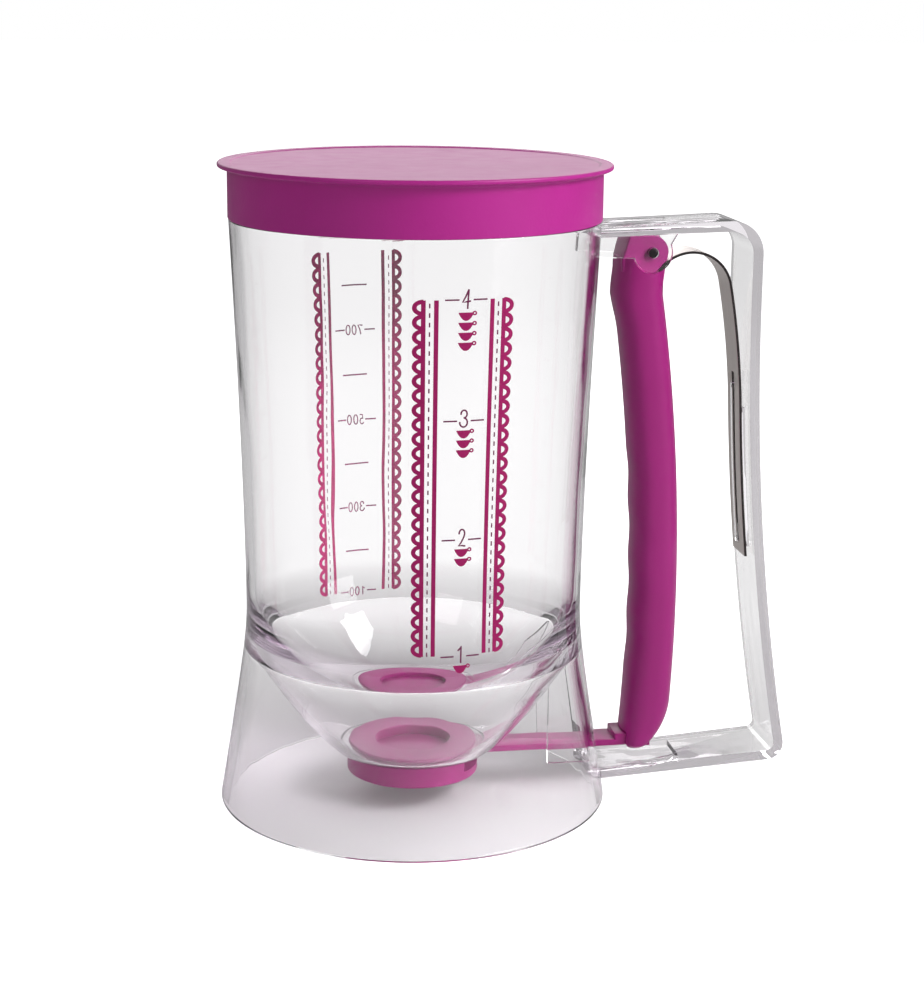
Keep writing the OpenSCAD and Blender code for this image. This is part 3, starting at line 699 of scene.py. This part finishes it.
plate = [(GUIDE_X, GUIDE_Z)] + [(at_plate(outer_r(z) - WALL / 2), z) for z in spread(GUIDE_Z, 45.5, 18)]
plate_top = LIP_Z + (GUIDE_X**2 + GUIDE_MID**2 - LIP_R**2) * (CROTCH_Z - LIP_Z) / (CROTCH_R**2 - LIP_R**2)
plate += [(at_plate(bowl_r(z, OUTSIDE)), z + 1.0) for z in spread(44.5, plate_top, 10)]
for y0, y1 in both_sides(GUIDE_IN, GUIDE_IN + GUIDE_T):
    join(jug, one_slab("plate", plate, y0, y1))
window = [(GUIDE_X, SILL_Z), (80, SILL_Z), (80, WINDOW_TOP), (GUIDE_X, WINDOW_TOP)]
cut(jug, one_slab("window", window, -GUIDE_IN + 0.01, GUIDE_IN - 0.01))
weld(jug)
shade(jug, 30)
wear(jug, clear)
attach(jug, "jug")
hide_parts("vessel", "bowl", "skirt", "handle")
print("clear moulding:", len(jug.data.polygons), "faces")

# %% [markdown]
# ## The lid
# The lid presses over the rim: a shallow recess in its top, a flange all round to pull on, a skirt
# outside the rim and a thin sealing lip inside it. A turned profile has it all. The edges are soft,
# because polyethylene doesn't fill a sharp corner, and the flange thins a little towards its edge.

# %% Lid
LID_R, LID_WALL, LID_TOP, LID_T, FLANGE_R = 52.7, 1.3, 186.6, 1.6, 55.5
LIP_OUT, LIP_T, LIP_D, BORDER = BORE_R - 0.1, 1.2, 3.5, 3.6
under = LID_TOP - LID_T
lid_outline = rounded([
    (0, under, 0), (LIP_OUT - LIP_T, under, 0.5), (LIP_OUT - LIP_T, under - LIP_D, 0.4),
    (LIP_OUT, under - LIP_D, 0.4), (LIP_OUT, under, 0.3), (LID_R - LID_WALL, under, 0.3),
    (LID_R - LID_WALL, SHOULDER_Z, 0.4), (LID_R, SHOULDER_Z, 0.35), (LID_R, under + 0.1, 0.8),
    (FLANGE_R - 0.1, under + 0.3, 0.5), (FLANGE_R, LID_TOP, 0.6), (FLANGE_R - BORDER, LID_TOP, 0.7),
    (FLANGE_R - BORDER - 0.5, LID_TOP - 0.35, 0.7), (12, LID_TOP - 0.42, 0), (0, LID_TOP - 0.45, 0)])
bm = bmesh.new()
turned(bm, lid_outline, 256)
lid = wear(finish_mesh(bm, "lid_cap", 40), lid_plastic)
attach(lid, "lid")
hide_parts("lid")
print("lid:", len(lid.data.polygons), "faces")

# %% [markdown]
# ## The valve
# Three magenta pieces sit in and under the bowl: a flanged seat round the outlet, a cap with a channel,
# and between them the slide that opens the outlet. The seat and the cap are turned, then cut. Their edges
# are rounded in the profile, and the slide's by a bevel, because it is made of straight slabs.

# %% Seat
OUTLET_R, SEAT_R, SEAT_TOP, SEAT_LOW, NECK_R = 11.0, 19.2, 17.8, 14.8, 16.4
bm = bmesh.new()
turned(bm, rounded([(OUTLET_R, SEAT_LOW, 0.2), (OUTLET_R, SEAT_TOP, 0.4), (SEAT_R, SEAT_TOP, 0.6),
                    (SEAT_R, FLOOR_Z + 0.05, 0.2), (NECK_R, FLOOR_Z + 0.05, 0.05),
                    (NECK_R, SEAT_LOW, 0.2)]), 160)
seat = finish_mesh(bm, "valve_seat_ring")
CHANNEL_HALF, LEG_T, GATE_LOW = 14.5, 1.4, 10.3
leg_x = math.sqrt(NECK_R**2 - (CHANNEL_HALF + LEG_T) ** 2)
leg = rounded([(-leg_x, GATE_LOW, 0.3), (-leg_x, LIP_Z + 0.6, 0), (leg_x, LIP_Z + 0.6, 0),
               (leg_x, GATE_LOW, 0.3)])
for y0, y1 in both_sides(CHANNEL_HALF, CHANNEL_HALF + LEG_T):
    join(seat, one_slab("leg", leg, y0, y1, 0.15))
shade(seat)
wear(seat, valve_plastic)
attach(seat, "jug")
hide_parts("valve_seat")

# %% Cap
CAP_R, CAP_WALL, CAP_Z, CAP_FLOOR_Z, SPOUT_R = 19.4, 1.6, 7.5, 10.2, 12.0
bm = bmesh.new()
BORE = NECK_R + 0.1
turned(bm, rounded([(SPOUT_R, CAP_Z, 0.4), (SPOUT_R, CAP_FLOOR_Z, 0.3), (BORE, CAP_FLOOR_Z, 0),
                    (BORE, CAP_FLOOR_Z + 0.01, 0), (BORE, SEAT_LOW, 0), (BORE, LIP_Z, 0.15),
                    (CAP_R, LIP_Z, 0.25), (CAP_R, CAP_Z, 0.7)]), 160)
cap = finish_mesh(bm, "valve_cap_housing")
CHANNEL, CHANNEL_END = CAP_R - CAP_WALL, 30.0
half_turn = math.degrees(math.asin(CHANNEL_HALF / CHANNEL))
channel = [(-p.x, p.y) for p in arc(Vector((0, 0)), CHANNEL, -half_turn, half_turn, 30)]
channel += [(CHANNEL_END, CHANNEL_HALF), (CHANNEL_END, -CHANNEL_HALF)]
cut(cap, raised_plan("channel", channel, CAP_FLOOR_Z, LIP_Z - 0.05 - CAP_FLOOR_Z))
shade(cap)
wear(cap, valve_plastic)
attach(cap, "jug")
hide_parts("valve_cap")

# %% Slide
GATE_TOP, GATE_HALF, GATE_W, GATE_T, RUNNER_W = 14.7, 13.0, 28.8, 2.0, 2.0
ARM_Z, ARM_W, ARM_T, BLOCK_H, BARB_W, BARB_L = 12.6, 10.4, 1.8, 3.6, 13.4, 3.5
BLOCK_X, BARB_X = 60.6, 67.5


def bar(name, x0, x1, width, z0, z1, edge=0.25):
    """A straight bar along the handle's plane, with all its edges rounded."""
    outline = [(x0, z0), (x1, z0), (x1, z1), (x0, z1)]
    bm = bmesh.new()
    slab(bm, outline, -width / 2, width / 2)
    bmesh.ops.bevel(bm, geom=bm.edges[:], offset=edge, segments=2, profile=0.5, affect="EDGES")
    return finish_mesh(bm, name)


def gate_outline(y):
    """Back end of the gate, which is round to fit the cap."""
    return -min(GATE_HALF, math.sqrt((CHANNEL - 0.3) ** 2 - y**2))


plan = [(gate_outline(y), y) for y in spread(-GATE_W / 2, GATE_W / 2, 40)]
plan += [(GATE_HALF, GATE_W / 2), (GATE_HALF, -GATE_W / 2)]
slide = raised_plan("valve_slide_gate", plan, GATE_TOP - GATE_T, GATE_T)
RUNNER_TOP, RUNNER_Y = GATE_TOP - GATE_T + 0.6, (GATE_W - RUNNER_W) / 2 - 0.01
for side in (-1, 1):
    runner = bar("runner", gate_outline(GATE_W / 2), GATE_HALF, RUNNER_W, GATE_LOW, RUNNER_TOP, 0.15)
    runner.data.transform(Matrix.Translation((0, side * RUNNER_Y * MM, 0)))
    join(slide, runner)
join(slide, bar("arm", GATE_HALF - 1.2, BLOCK_X + 1, ARM_W, ARM_Z, ARM_Z + ARM_T, 0.2))
join(slide, bar("block", BLOCK_X, BARB_X + 1.2, ARM_W - 0.02, ARM_Z - 0.002, ARM_Z + BLOCK_H, 0.3))
join(slide, bar("barb", BARB_X, BARB_X + BARB_L, BARB_W, ARM_Z - 0.004, ARM_Z + BLOCK_H - 0.002, 0.3))
shade(slide)
wear(slide, valve_plastic)
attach(slide, "valve_slide")
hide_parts("valve_slide")
print("valve:", [len(o.data.polygons) for o in (seat, cap, slide)], "faces")

# %% [markdown]
# ## The lever
# The lever is an oval grip that bows out towards the handle, with faint waves for the fingers, a narrow
# head between the lugs and a rounded tip. A loft suits it: one ring of points after another, each a
# slightly squared oval. Sculpting could reach the same shape, but a loft keeps its measured outline.

# %% Rings of the grip
LEVER_W, LEVER_D, TIP_Z, BELLY_Z, BOW, WAVE_D, WAVE_PITCH = 17.0, 13.9, 11.0, 60.0, 6.9, 0.4, 17.0
LEVER_TOP = lug_z - 0.3
NECK_H, NECK_SWELL = 11.1, 0.8
NECK_Z, WAVE_Z, HEEL_X = LEVER_TOP - NECK_H, BELLY_Z - 24, PIVOT.x - 1.7


def lever_mid(z):
    """Distance from the axis to the middle of the grip."""
    return PIVOT.x - 2.3 + BOW * (1 - ((min(z, NECK_Z) - BELLY_Z) / (NECK_Z - BELLY_Z)) ** 2)


def wave(z):
    """Depth of the finger waves at height z."""
    if not WAVE_Z < z < WAVE_Z + 4 * WAVE_PITCH:
        return 0.0
    return WAVE_D * (1 - math.cos(math.tau * (z - WAVE_Z) / WAVE_PITCH)) / 2


def swell(z):
    """How far the neck swells towards the vessel."""
    return NECK_SWELL * math.sin(math.pi * min(1, max(0, 1 - (LEVER_TOP - z) / (2 * NECK_H)))) ** 2


def rounding(z, height):
    """1 for the full section, and less towards the end of a rounding above the tip."""
    return 1.0 if z > TIP_Z + height else math.sqrt(max(0.004, 1 - ((TIP_Z + height - z) / height) ** 2))


def lever_ring(z, sides=72):
    """The grip's outline at height z, an oval that is a little squared."""
    high = HEEL_X + (lever_mid(z) + LEVER_D / 2 - HEEL_X) * rounding(z, 15.5)
    low = HEEL_X + (lever_mid(z) - LEVER_D / 2 + wave(z) - swell(z) - HEEL_X) * rounding(z, 4)
    half = LEVER_W / 2 * rounding(z, 2.5)
    ring = []
    for i in range(sides):
        c, s = math.cos(math.tau * i / sides), math.sin(math.tau * i / sides)
        c, s = math.copysign(abs(c) ** 0.8, c), math.copysign(abs(s) ** 0.8, s)
        ring.append(((low + high) / 2 + (high - low) / 2 * c, half * s, z))
    return ring


bm = bmesh.new()
levels = [TIP_Z + 20 * t**2 for t in spread(0, 1, 26)] + spread(TIP_Z + 20, LEVER_TOP, 92)[1:]
rings = [[bm.verts.new(p) for p in lever_ring(z)] for z in levels]
for lower, upper in zip(rings, rings[1:]):
    for i in range(len(lower)):
        j = (i + 1) % len(lower)
        bm.faces.new([lower[i], lower[j], upper[j], upper[i]])
bm.faces.new(rings[0])
bm.faces.new(rings[-1])
top_edges = [e for e in bm.edges if all(v in rings[-1] for v in e.verts)]
bmesh.ops.bevel(bm, geom=top_edges, offset=0.5, segments=3, profile=0.5, affect="EDGES")
lever = finish_mesh(bm, "squeeze_lever")
print("grip:", len(lever.data.polygons), "faces")

# %% Head, slot and pocket of the lever
HEAD_W, HEAD_R, HEAD_FLAT = 12.5, 4.7, 6.8
head_top = PIVOT.y + HEAD_R
head_foot = PIVOT.x - HEAD_FLAT - 1.8
head = [Vector((head_foot, LEVER_TOP - 4)), Vector((head_foot, LEVER_TOP))]
head += [Vector((PIVOT.x - HEAD_FLAT, head_top))]
head += arc(PIVOT, HEAD_R, 90, 0, 16) + [Vector((PIVOT.x + HEAD_R - 1.1, LEVER_TOP - 8.6))]
join(lever, one_slab("head", head, -HEAD_W / 2, HEAD_W / 2, 0.6, 3))
cut(lever, one_slab("hole", arc(PIVOT, PIN_R + 0.05, 0, 345, 23), -CUTTER_HALF, CUTTER_HALF))
for y0, y1 in both_sides(HEAD_W / 2 + 0.005, CUTTER_HALF):
    cut(lever, one_slab("room", arc(PIVOT, LUG_R + 0.4, 0, 354, 59), y0, y1))
slot = tail_line(-0.3, TAIL_L + 1) + tail_line(STRIP_T + 0.3, TAIL_L + 1)[::-1]
cut(lever, one_slab("slot", slot, -STRIP_W / 2 - 0.3, STRIP_W / 2 + 0.3))
pocket_top = ARM_Z + BLOCK_H + 0.4
pocket = [(40, 0), (BARB_X + 1, 0), (BARB_X + 1, pocket_top), (40, pocket_top)]
cut(lever, one_slab("pocket", pocket, -ARM_W / 2 - 0.3, ARM_W / 2 + 0.3))
barb_room = [(BARB_X - 0.5, -1), (BARB_X + BARB_L + 0.5, -1), (BARB_X + BARB_L + 0.5, pocket_top - 0.01),
             (BARB_X - 0.5, pocket_top - 0.01)]
cut(lever, one_slab("room", barb_room, -BARB_W / 2 - 0.3, BARB_W / 2 + 0.3))
shade(lever)
wear(lever, lever_plastic)
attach(lever, "lever")
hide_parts("lever")
print("lever:", len(lever.data.polygons), "faces")

# %% [markdown]
# ## Pin and leaf spring
# The pin is a short steel rod with chamfered ends, a little inside its lugs. The spring is a strip with
# a slot. On the real dispenser it bends as the lever turns; here it is built in one shape.

# %% Pivot pin
PIN_RECESS = 0.75
PIN_HALF = LUG_IN + LUG_T - PIN_RECESS
pin = wear(one_slab("pivot_pin_rod", arc(PIVOT, PIN_R, 0, 348, 31), -PIN_HALF, PIN_HALF, 0.25), pin_steel_painted_shade)
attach(pin, "jug")
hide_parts("pivot_pin")
print("pin:", len(pin.data.polygons), "faces")

# %% Leaf spring
bm = bmesh.new()
columns = [-STRIP_W / 2, -STRIP_W / 2 + 0.35, -SLOT_W / 2, SLOT_W / 2, STRIP_W / 2 - 0.35, STRIP_W / 2]
faces_of_strip = (strip_line(0), strip_line(STRIP_T))
grid = [[[bm.verts.new((p.x, y, p.y)) for y in columns] for p in line] for line in faces_of_strip]
rows = len(grid[0])


def in_slot(i, j):
    z = (faces_of_strip[0][i].y + faces_of_strip[0][i + 1].y) / 2
    return j == 2 and slot_low < z < slot_high and i < 40


for i in range(rows - 1):
    for j in range(len(columns) - 1):
        if in_slot(i, j):
            continue
        for side, line in enumerate(grid):
            quad = [line[i][j], line[i + 1][j], line[i + 1][j + 1], line[i][j + 1]]
            bm.faces.new(quad[::-1] if side else quad)
open_edges = [e for e in bm.edges if len(e.link_faces) == 1]
behind = {v: w for near, far in zip(*grid) for v, w in zip(near, far)}
for edge in open_edges:
    a, b = edge.verts
    if a in behind and b in behind:
        bm.faces.new([a, b, behind[b], behind[a]])
spring = finish_mesh(bm, "leaf_spring_strip", 40)
edge_round = spring.modifiers.new("edge", "BEVEL")
edge_round.width, edge_round.segments, edge_round.limit_method = 0.12 * MM, 2, "ANGLE"
edge_round.angle_limit = math.radians(60)
apply_modifier(spring)
shade(spring, 40)
wear(spring, spring_steel)
spring.data.materials.append(edge_steel.material)
for face in spring.data.polygons:
    face.material_index = int(abs(face.normal.y) > 0.6)
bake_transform(spring)
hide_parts("leaf_spring")
print("spring:", len(spring.data.polygons), "faces")

# %% [markdown]
# ## The printed scales
# Two scales are printed on the outside of the jug: cups at the front, millilitres at the back, which is
# read from behind. Each has a border of lace scallops, a stitched line and plain lines. Ink could be a
# mask in the plastic's material, but then it would have no edge of its own. So each mark is a thin mesh,
# drawn flat and wrapped on to the wall: across in degrees round the jug, upwards in millimetres.


# %% Drawing on the wall
class Print:
    """Thin ink on the wall, drawn in (millimetres across, height) round an azimuth."""

    def __init__(self, azimuth, radius):
        self.bm, self.azimuth, self.radius = bmesh.new(), azimuth, radius

    def point(self, u, z, lift):
        angle = math.radians(self.azimuth + math.degrees(u / self.radius))
        r = outer_r(z) + lift
        return self.bm.verts.new((r * math.cos(angle), r * math.sin(angle), z))

    def strip(self, lefts, rights, closed=False):
        """A band of ink between two lines of as many points."""
        inner = [[self.point(u, z, 0.01) for u, z in line] for line in (lefts, rights)]
        outer = [[self.point(u, z, 0.06) for u, z in line] for line in (lefts, rights)]
        count = len(lefts)
        for i in range(count if closed else count - 1):
            j = (i + 1) % count
            for level in (inner, outer):
                self.bm.faces.new([level[0][i], level[0][j], level[1][j], level[1][i]])
            for side in (0, 1):
                self.bm.faces.new([inner[side][i], inner[side][j], outer[side][j], outer[side][i]])
        if not closed:
            for i in (0, count - 1):
                self.bm.faces.new([inner[0][i], inner[1][i], outer[1][i], outer[0][i]])

    def stroke(self, points, width):
        """A line of even width through the points."""
        points = [Vector(p) for p in points]
        lefts, rights = [], []
        for i, here in enumerate(points):
            along = (points[min(i + 1, len(points) - 1)] - points[max(i - 1, 0)]).normalized()
            across = Vector((-along.y, along.x)) * width / 2
            lefts.append(here + across)
            rights.append(here - across)
        self.strip(lefts, rights)

    def rule(self, u, z0, z1, width):
        """An upright line, cut often enough to follow the wall."""
        self.stroke([(u, z) for z in spread(z0, z1, max(1, round((z1 - z0) / 4)))], width)

    def done(self, name, finish):
        obj = wear(finish_mesh(self.bm, name, 60), finish)
        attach(obj, "jug")
        return obj


def oval(cu, cz, ru, rz, a0, a1, n):
    """Points on an oval round (cu, cz), from one angle to another."""
    turns = [math.radians(a) for a in spread(a0, a1, n)]
    return [(cu + ru * math.cos(a), cz + rz * math.sin(a)) for a in turns]


def lace(pr, half_line, half_base, scallop, low, high, count, line):
    """Both borders of a scale: a plain line, and scallops on a base line."""
    pitch = (high - low) / count
    for side in (-1, 1):
        pr.rule(side * half_line, low, high, line)
        pr.rule(side * half_base, low, high, line)
        for i in range(count):
            z = low + pitch * (i + 0.5)
            a0, a1 = (90, -90) if side > 0 else (90, 270)
            pr.strip(oval(side * half_base, z, scallop, pitch * 0.56, a0, a1, 14),
                     oval(side * half_base, z, scallop * 0.58, pitch * 0.26, a0, a1, 14))


# %% Borders of both scales
FRONT_AZ, BACK_AZ, PRINT_R = -83.8, 103.2, 50.0
per_degree = math.radians(1) * PRINT_R
front_lace = Print(FRONT_AZ, PRINT_R)
lace(front_lace, 8.5 * per_degree, 12.3 * per_degree, 2.9, 57.0, 155.2, 25, 1.2)
front_lace.done("cup_scale_border", crimson_ink)
back_lace = Print(BACK_AZ, PRINT_R)
lace(back_lace, 10.2 * per_degree, 13.9 * per_degree, 2.6, 48.5, 155.4, 24, 1.0)
back_lace.done("litre_scale_border", back_ink_painted_light)
print(f"one degree round the wall is {per_degree:.2f} mm")

# %% [markdown]
# ### Numbers and cups
# The numbers are strokes of a round pen, so a digit is a few lines in a box from 0 to 1, stretched to its
# size. A font would be quicker, but its letters are flat outlines that don't bend round a wall. A cup is
# one band of ink between its brim and its belly, with a small ring. The stitches are short strokes in a
# row. A ruler needs each number at the height that its volume has, so those heights are given.

# %% Digits and cup
DIGITS = {
    "0": [oval(0.5, 0.5, 0.36, 0.5, 90, 450, 20)],
    "1": [[(0.25, 0.72), (0.45, 0.84), (0.62, 1.0), (0.6, 0.6), (0.58, 0.0)]],
    "2": [oval(0.52, 0.76, 0.3, 0.24, 190, -20, 12)
          + [(0.7, 0.5), (0.42, 0.2), (0.16, 0.02), (0.5, 0.04), (0.92, 0.0)]],
    "3": [oval(0.5, 0.77, 0.32, 0.23, 190, -60, 12) + [(0.46, 0.54)],
          [(0.46, 0.54)] + oval(0.46, 0.27, 0.4, 0.27, 75, -190, 14)],
    "4": [[(0.72, 1.0), (0.4, 0.62), (0.1, 0.34), (0.5, 0.37), (0.95, 0.4)],
          [(0.72, 1.0), (0.66, 0.5), (0.62, 0.0)]],
    "5": [[(0.85, 1.0), (0.3, 0.98), (0.24, 0.56)] + oval(0.45, 0.3, 0.38, 0.3, 100, -160, 14)],
    "7": [[(0.1, 0.94), (0.5, 0.97), (0.92, 1.0), (0.6, 0.5), (0.42, 0.0)]],
}


def number(pr, text, u, z, width, height, pen):
    """A number centred on (u, z). A negative width mirrors it."""
    step = width * 1.16
    for i, digit in enumerate(text):
        left = u + (i - (len(text) - 1) / 2) * step - width / 2
        for line in DIGITS[digit]:
            pr.stroke([(left + a * width, z + (b - 0.5) * height) for a, b in line], pen)


def cup(pr, u, z, width=4.1, height=2.1):
    """A filled teacup whose brim is at z, with a ring for its handle."""
    n = 12
    brim = [(u - width / 2 + width * i / n, z + 0.12) for i in range(n + 1)]
    bowl = [(a, z - height * (1 - abs(2 * i / n - 1) ** 2.2)) for i, (a, _) in enumerate(brim)]
    pr.strip(brim, bowl)
    ring = (u + width / 2 + 0.2, z - 0.1)
    pr.strip(oval(*ring, 0.64, 0.62, 0, 345, 23), oval(*ring, 0.24, 0.22, 0, 345, 23), closed=True)


STITCH_PITCH, STITCH_HALF, DASH_PEN = 2.53, 0.62, 0.42


def stitches(pr, u, low, count, pen):
    """Two upright rows of stitches, at u on either side of the scale's middle."""
    for side in (-1, 1):
        for i in range(count):
            z = low + STITCH_PITCH * i
            pr.stroke([(side * u, z - STITCH_HALF), (side * u, z + STITCH_HALF)], pen)


def dashes(pr, u, z, reach):
    """The dash on each side of a number."""
    for side in (-1, 1):
        pr.stroke([(u + side * x, z) for x in reach][::side], DASH_PEN)


# %% Marks of the cup scale: cups, height, the digit's height, and how far down the first cup's brim is
CUP_MARKS = ((4, 155.2, 5.2, 3.5), (3, 122.6, 4.6, 2.7), (2, 89.7, 4.7, 2.7), (1, 56.7, 4.8, 2.7))
cups, fine = Print(FRONT_AZ, PRINT_R), Print(FRONT_AZ, PRINT_R)
CUP_U, CUP_PITCH = 0.35, 2.68
for count, z, tall, drop in CUP_MARKS:
    number(fine, str(count), CUP_U, z + (5.4 - tall) * 0.8, 2.6, tall, 0.45)
    dashes(fine, CUP_U, z, (1.85, 3.7, 5.6))
    for i in range(count):
        cup(cups, CUP_U, z - drop - CUP_PITCH * i)
stitches(fine, 10.45 * per_degree, 57.6, 39, 0.38)
cups.done("cup_scale_cups", crimson_ink)
fine.done("cup_scale_lines", plum_ink)
print("cup marks at", [mark[1] for mark in CUP_MARKS], "mm")

# %% Marks of the millilitre scale, with a plain tick halfway between numbers
LITRE_MARKS = (("700", 131.4), ("500", 103.7), ("300", 76.2), ("100", 48.6))
TICKS = (145.1, 117.6, 89.9, 62.3)
fine = Print(BACK_AZ, PRINT_R)
LITRE_U = 0.3
for text, z in LITRE_MARKS:
    number(fine, text, LITRE_U + 0.1, z, 1.8, 2.9, 0.36)
    dashes(fine, LITRE_U, z, (3.3, 4.9, 6.6))
for z in TICKS:
    fine.stroke([(LITRE_U + u, z) for u in (-4.2, -2.1, 0, 2.1, 4.2)], 0.44)
stitches(fine, 12.2 * per_degree, 49.4, 42, 0.28)
fine.done("litre_scale_lines", back_plum_ink_painted_light)
print("millilitre marks at", [mark[1] for mark in LITRE_MARKS], "mm")

# %% [markdown]
# ## Studio
# Clear plastic shows its surroundings more than itself, so the surroundings are part of its finish. The
# camera has to see plain white, and a lamp bright enough to burn the background white would burn the object
# too. So the white comes from Light Path, which tells a shader what kind of ray has met it. The table and
# the sky each answer four kinds of ray with a strength of their own.

# %% A large plane, and sums with sockets


def stage_plane(name, size, z):
    """A level square of the stage, with its size and height in metres."""
    bm = bmesh.new()
    bmesh.ops.create_grid(bm, x_segments=1, y_segments=1, size=size / MM)
    bmesh.ops.translate(bm, vec=(0, 0, z / MM), verts=bm.verts)
    obj = finish_mesh(bm, name)
    return obj


def combine(finish, operation, a, b, **settings):
    """The result of a Math node with two linked inputs."""
    node = finish.node("Math", operation=operation, **settings)
    finish.link(a, node.inputs[0])
    finish.link(b, node.inputs[1])
    return node.outputs[0]


# %% [markdown]
# ### Table
# The table is a matt board that takes the object's shadow. On top of that it glows a little for the
# camera: fully where it is far off, and weakly near the object, where the shadow should stay. A ray that
# has come through clear plastic meets the same board, but a jug in a studio never looks as white inside
# as the paper round it. So what is seen through the plastic glows less, and less again after a
# reflection, and the board's own light is dimmed there. A mirrored board is a little dimmer too.
# Light that has bounced off a matt surface gets none of this, or the valve would look lit from within.

# %% Which rays meet the board, and how far from the object
table = stage_plane("white_table", 6.0, -0.0002)
board = Finish("white_board")
board.set(Base_Color=(0.84, 0.84, 0.84, 1), Roughness=0.9)
seen = board.node("LightPath").outputs
unlit = board.between(seen["Diffuse Depth"], 1, 0)
through = combine(board, "MULTIPLY", seen["Is Transmission Ray"], unlit)
mirrored = combine(board, "SUBTRACT", seen["Is Glossy Ray"], seen["Is Transmission Ray"], use_clamp=True)
away = board.node("VectorMath", operation="LENGTH")
board.link(board.place, away.inputs[0])
far_off = board.between(away.outputs["Value"], 0, 1, 0.07, 0.32)
far_through = board.between(away.outputs["Value"], 0, 1, 0.06, 0.22)

# %% The board's glow, and its own light
straight_glow = combine(board, "MULTIPLY", seen["Is Camera Ray"], board.between(far_off, 0.38, 1.0))
less_mirrored = combine(board, "MULTIPLY", through, board.between(seen["Glossy Depth"], 1, 0.55))
through_glow = combine(board, "MULTIPLY", less_mirrored, board.between(far_through, 0.07, 0.93))
glow, dark = board.node("Emission"), board.node("Emission")
board.link(combine(board, "ADD", straight_glow, through_glow), glow.inputs["Strength"])
dark.inputs["Strength"].default_value = 0
dim_through = combine(board, "MULTIPLY", through, board.between(far_through, 0.38, 0.8))
dimmed, total = board.node("MixShader"), board.node("AddShader")
board.link(combine(board, "MAXIMUM", dim_through, board.between(mirrored, 0, 0.3)), dimmed.inputs["Fac"])
board.link(board.shader.outputs["BSDF"], dimmed.inputs[1])
board.link(dark.outputs["Emission"], dimmed.inputs[2])
board.link(dimmed.outputs["Shader"], total.inputs[0])
board.link(glow.outputs["Emission"], total.inputs[1])
board.link(total.outputs["Shader"], board.output.inputs["Surface"])
wear(table, board)
print("board:", len(board.nodes), "nodes")

# %% [markdown]
# ### Sky
# The sky is white for the camera, nearly white through the plastic, greyer in a mirror, and soft for the
# light that falls on the pieces. Each reflection on a ray's way weakens it, which draws the grey edges
# that clear plastic has in a studio. A ray that has bounced off a matt surface sees only the soft sky,
# whatever it went through afterwards.

# %% Sky
world = bpy.data.worlds.new("studio_sky")
bpy.context.scene.world = world
world.use_nodes = True
sky = world.node_tree
sky_rays = sky.nodes.new("ShaderNodeLightPath").outputs


def background(grey):
    """A white background of this strength."""
    node = sky.nodes.new("ShaderNodeBackground")
    node.inputs["Color"].default_value, node.inputs["Strength"].default_value = (1, 1, 1, 1), grey
    return node.outputs["Background"]


def instead(rays, new, old):
    """The new background for one kind of rays and the old one for all others."""
    node = sky.nodes.new("ShaderNodeMixShader")
    sky.links.new(rays, node.inputs["Fac"])
    sky.links.new(old, node.inputs[1])
    sky.links.new(new, node.inputs[2])
    return node.outputs["Shader"]


soft, clear_sky = background(0.28), background(0.97)
weakened = sky.nodes.new("ShaderNodeMapRange")
weakened.inputs["To Min"].default_value, weakened.inputs["To Max"].default_value = 0.97, 0.55
sky.links.new(sky_rays["Glossy Depth"], weakened.inputs["Value"])
sky.links.new(weakened.outputs["Result"], clear_sky.node.inputs["Strength"])
bounced = sky.nodes.new("ShaderNodeMath")
bounced.operation, bounced.inputs[1].default_value = "GREATER_THAN", 0.5
sky.links.new(sky_rays["Diffuse Depth"], bounced.inputs[0])
answer = instead(sky_rays["Is Glossy Ray"], background(0.38), soft)
answer = instead(sky_rays["Is Transmission Ray"], clear_sky, answer)
answer = instead(bounced.outputs[0], soft, answer)
answer = instead(sky_rays["Is Camera Ray"], background(1.0), answer)
sky.links.new(answer, sky.nodes["World Output"].inputs["Surface"])
print("sky:", len(sky.nodes), "nodes")

# %% [markdown]
# ### Lamps
# Four softboxes give the pieces their shape. The key and the low side lamp stand on the handle's side, so
# that the lid and the lever are lighter there and darker on the other side. A weak one fills the front
# from the left, and a wide one behind lights the edges. They are large, because a small lamp would leave
# a hard shadow, and the camera doesn't see them. The side lamp is so low that the lid's top would mirror
# it as a white patch when seen from behind, so it gives light but no highlight.

# %% Lamps
def lamp(name, azimuth, height, distance, size, watts, target=(0.0, 0.0, 0.08)):
    """A softbox that faces the object, from an azimuth and an angle above the table in degrees."""
    data = bpy.data.lights.new(name, "AREA")
    data.shape, data.size, data.size_y, data.energy = "RECTANGLE", size[0], size[1], watts
    obj = bpy.data.objects.new(name, data)
    bpy.context.scene.collection.objects.link(obj)
    a, e = math.radians(azimuth), math.radians(height)
    away = distance * Vector((math.cos(e) * math.cos(a), math.cos(e) * math.sin(a), math.sin(e)))
    turn = away.to_track_quat("Z", "Y").to_matrix().to_4x4()
    obj.matrix_world = Matrix.Translation(Vector(target) + away) @ turn
    obj.visible_camera = False
    return obj


lamp("key_lamp", -38, 38, 0.80, (0.34, 0.22), 4.3, (0, 0, 0.05))
side_lamp = lamp("side_lamp", -38, 11, 0.95, (0.4, 0.3), 1.9, (0, 0, 0.1))
side_lamp.visible_glossy = False
lamp("fill_lamp", -130, 30, 0.85, (0.3, 0.3), 0.7)
lamp("back_lamp", 82, 24, 0.80, (0.7, 0.3), 1.5, (0, 0, 0.15))
print("lamps:", [light.name for light in bpy.data.lights])

# %% [markdown]
# ## Settings and finish
# Light has to pass many clear walls before it reaches what is behind them, so Cycles gets enough
# bounces for that.

# %% Bounces and the end
scene = bpy.context.scene
scene.view_settings.view_transform = "Standard"
scene.cycles.max_bounces = 32
scene.cycles.transmission_bounces = 32
scene.cycles.transparent_max_bounces = 32
scene.cycles.glossy_bounces = 24
scene.cycles.diffuse_bounces = 3
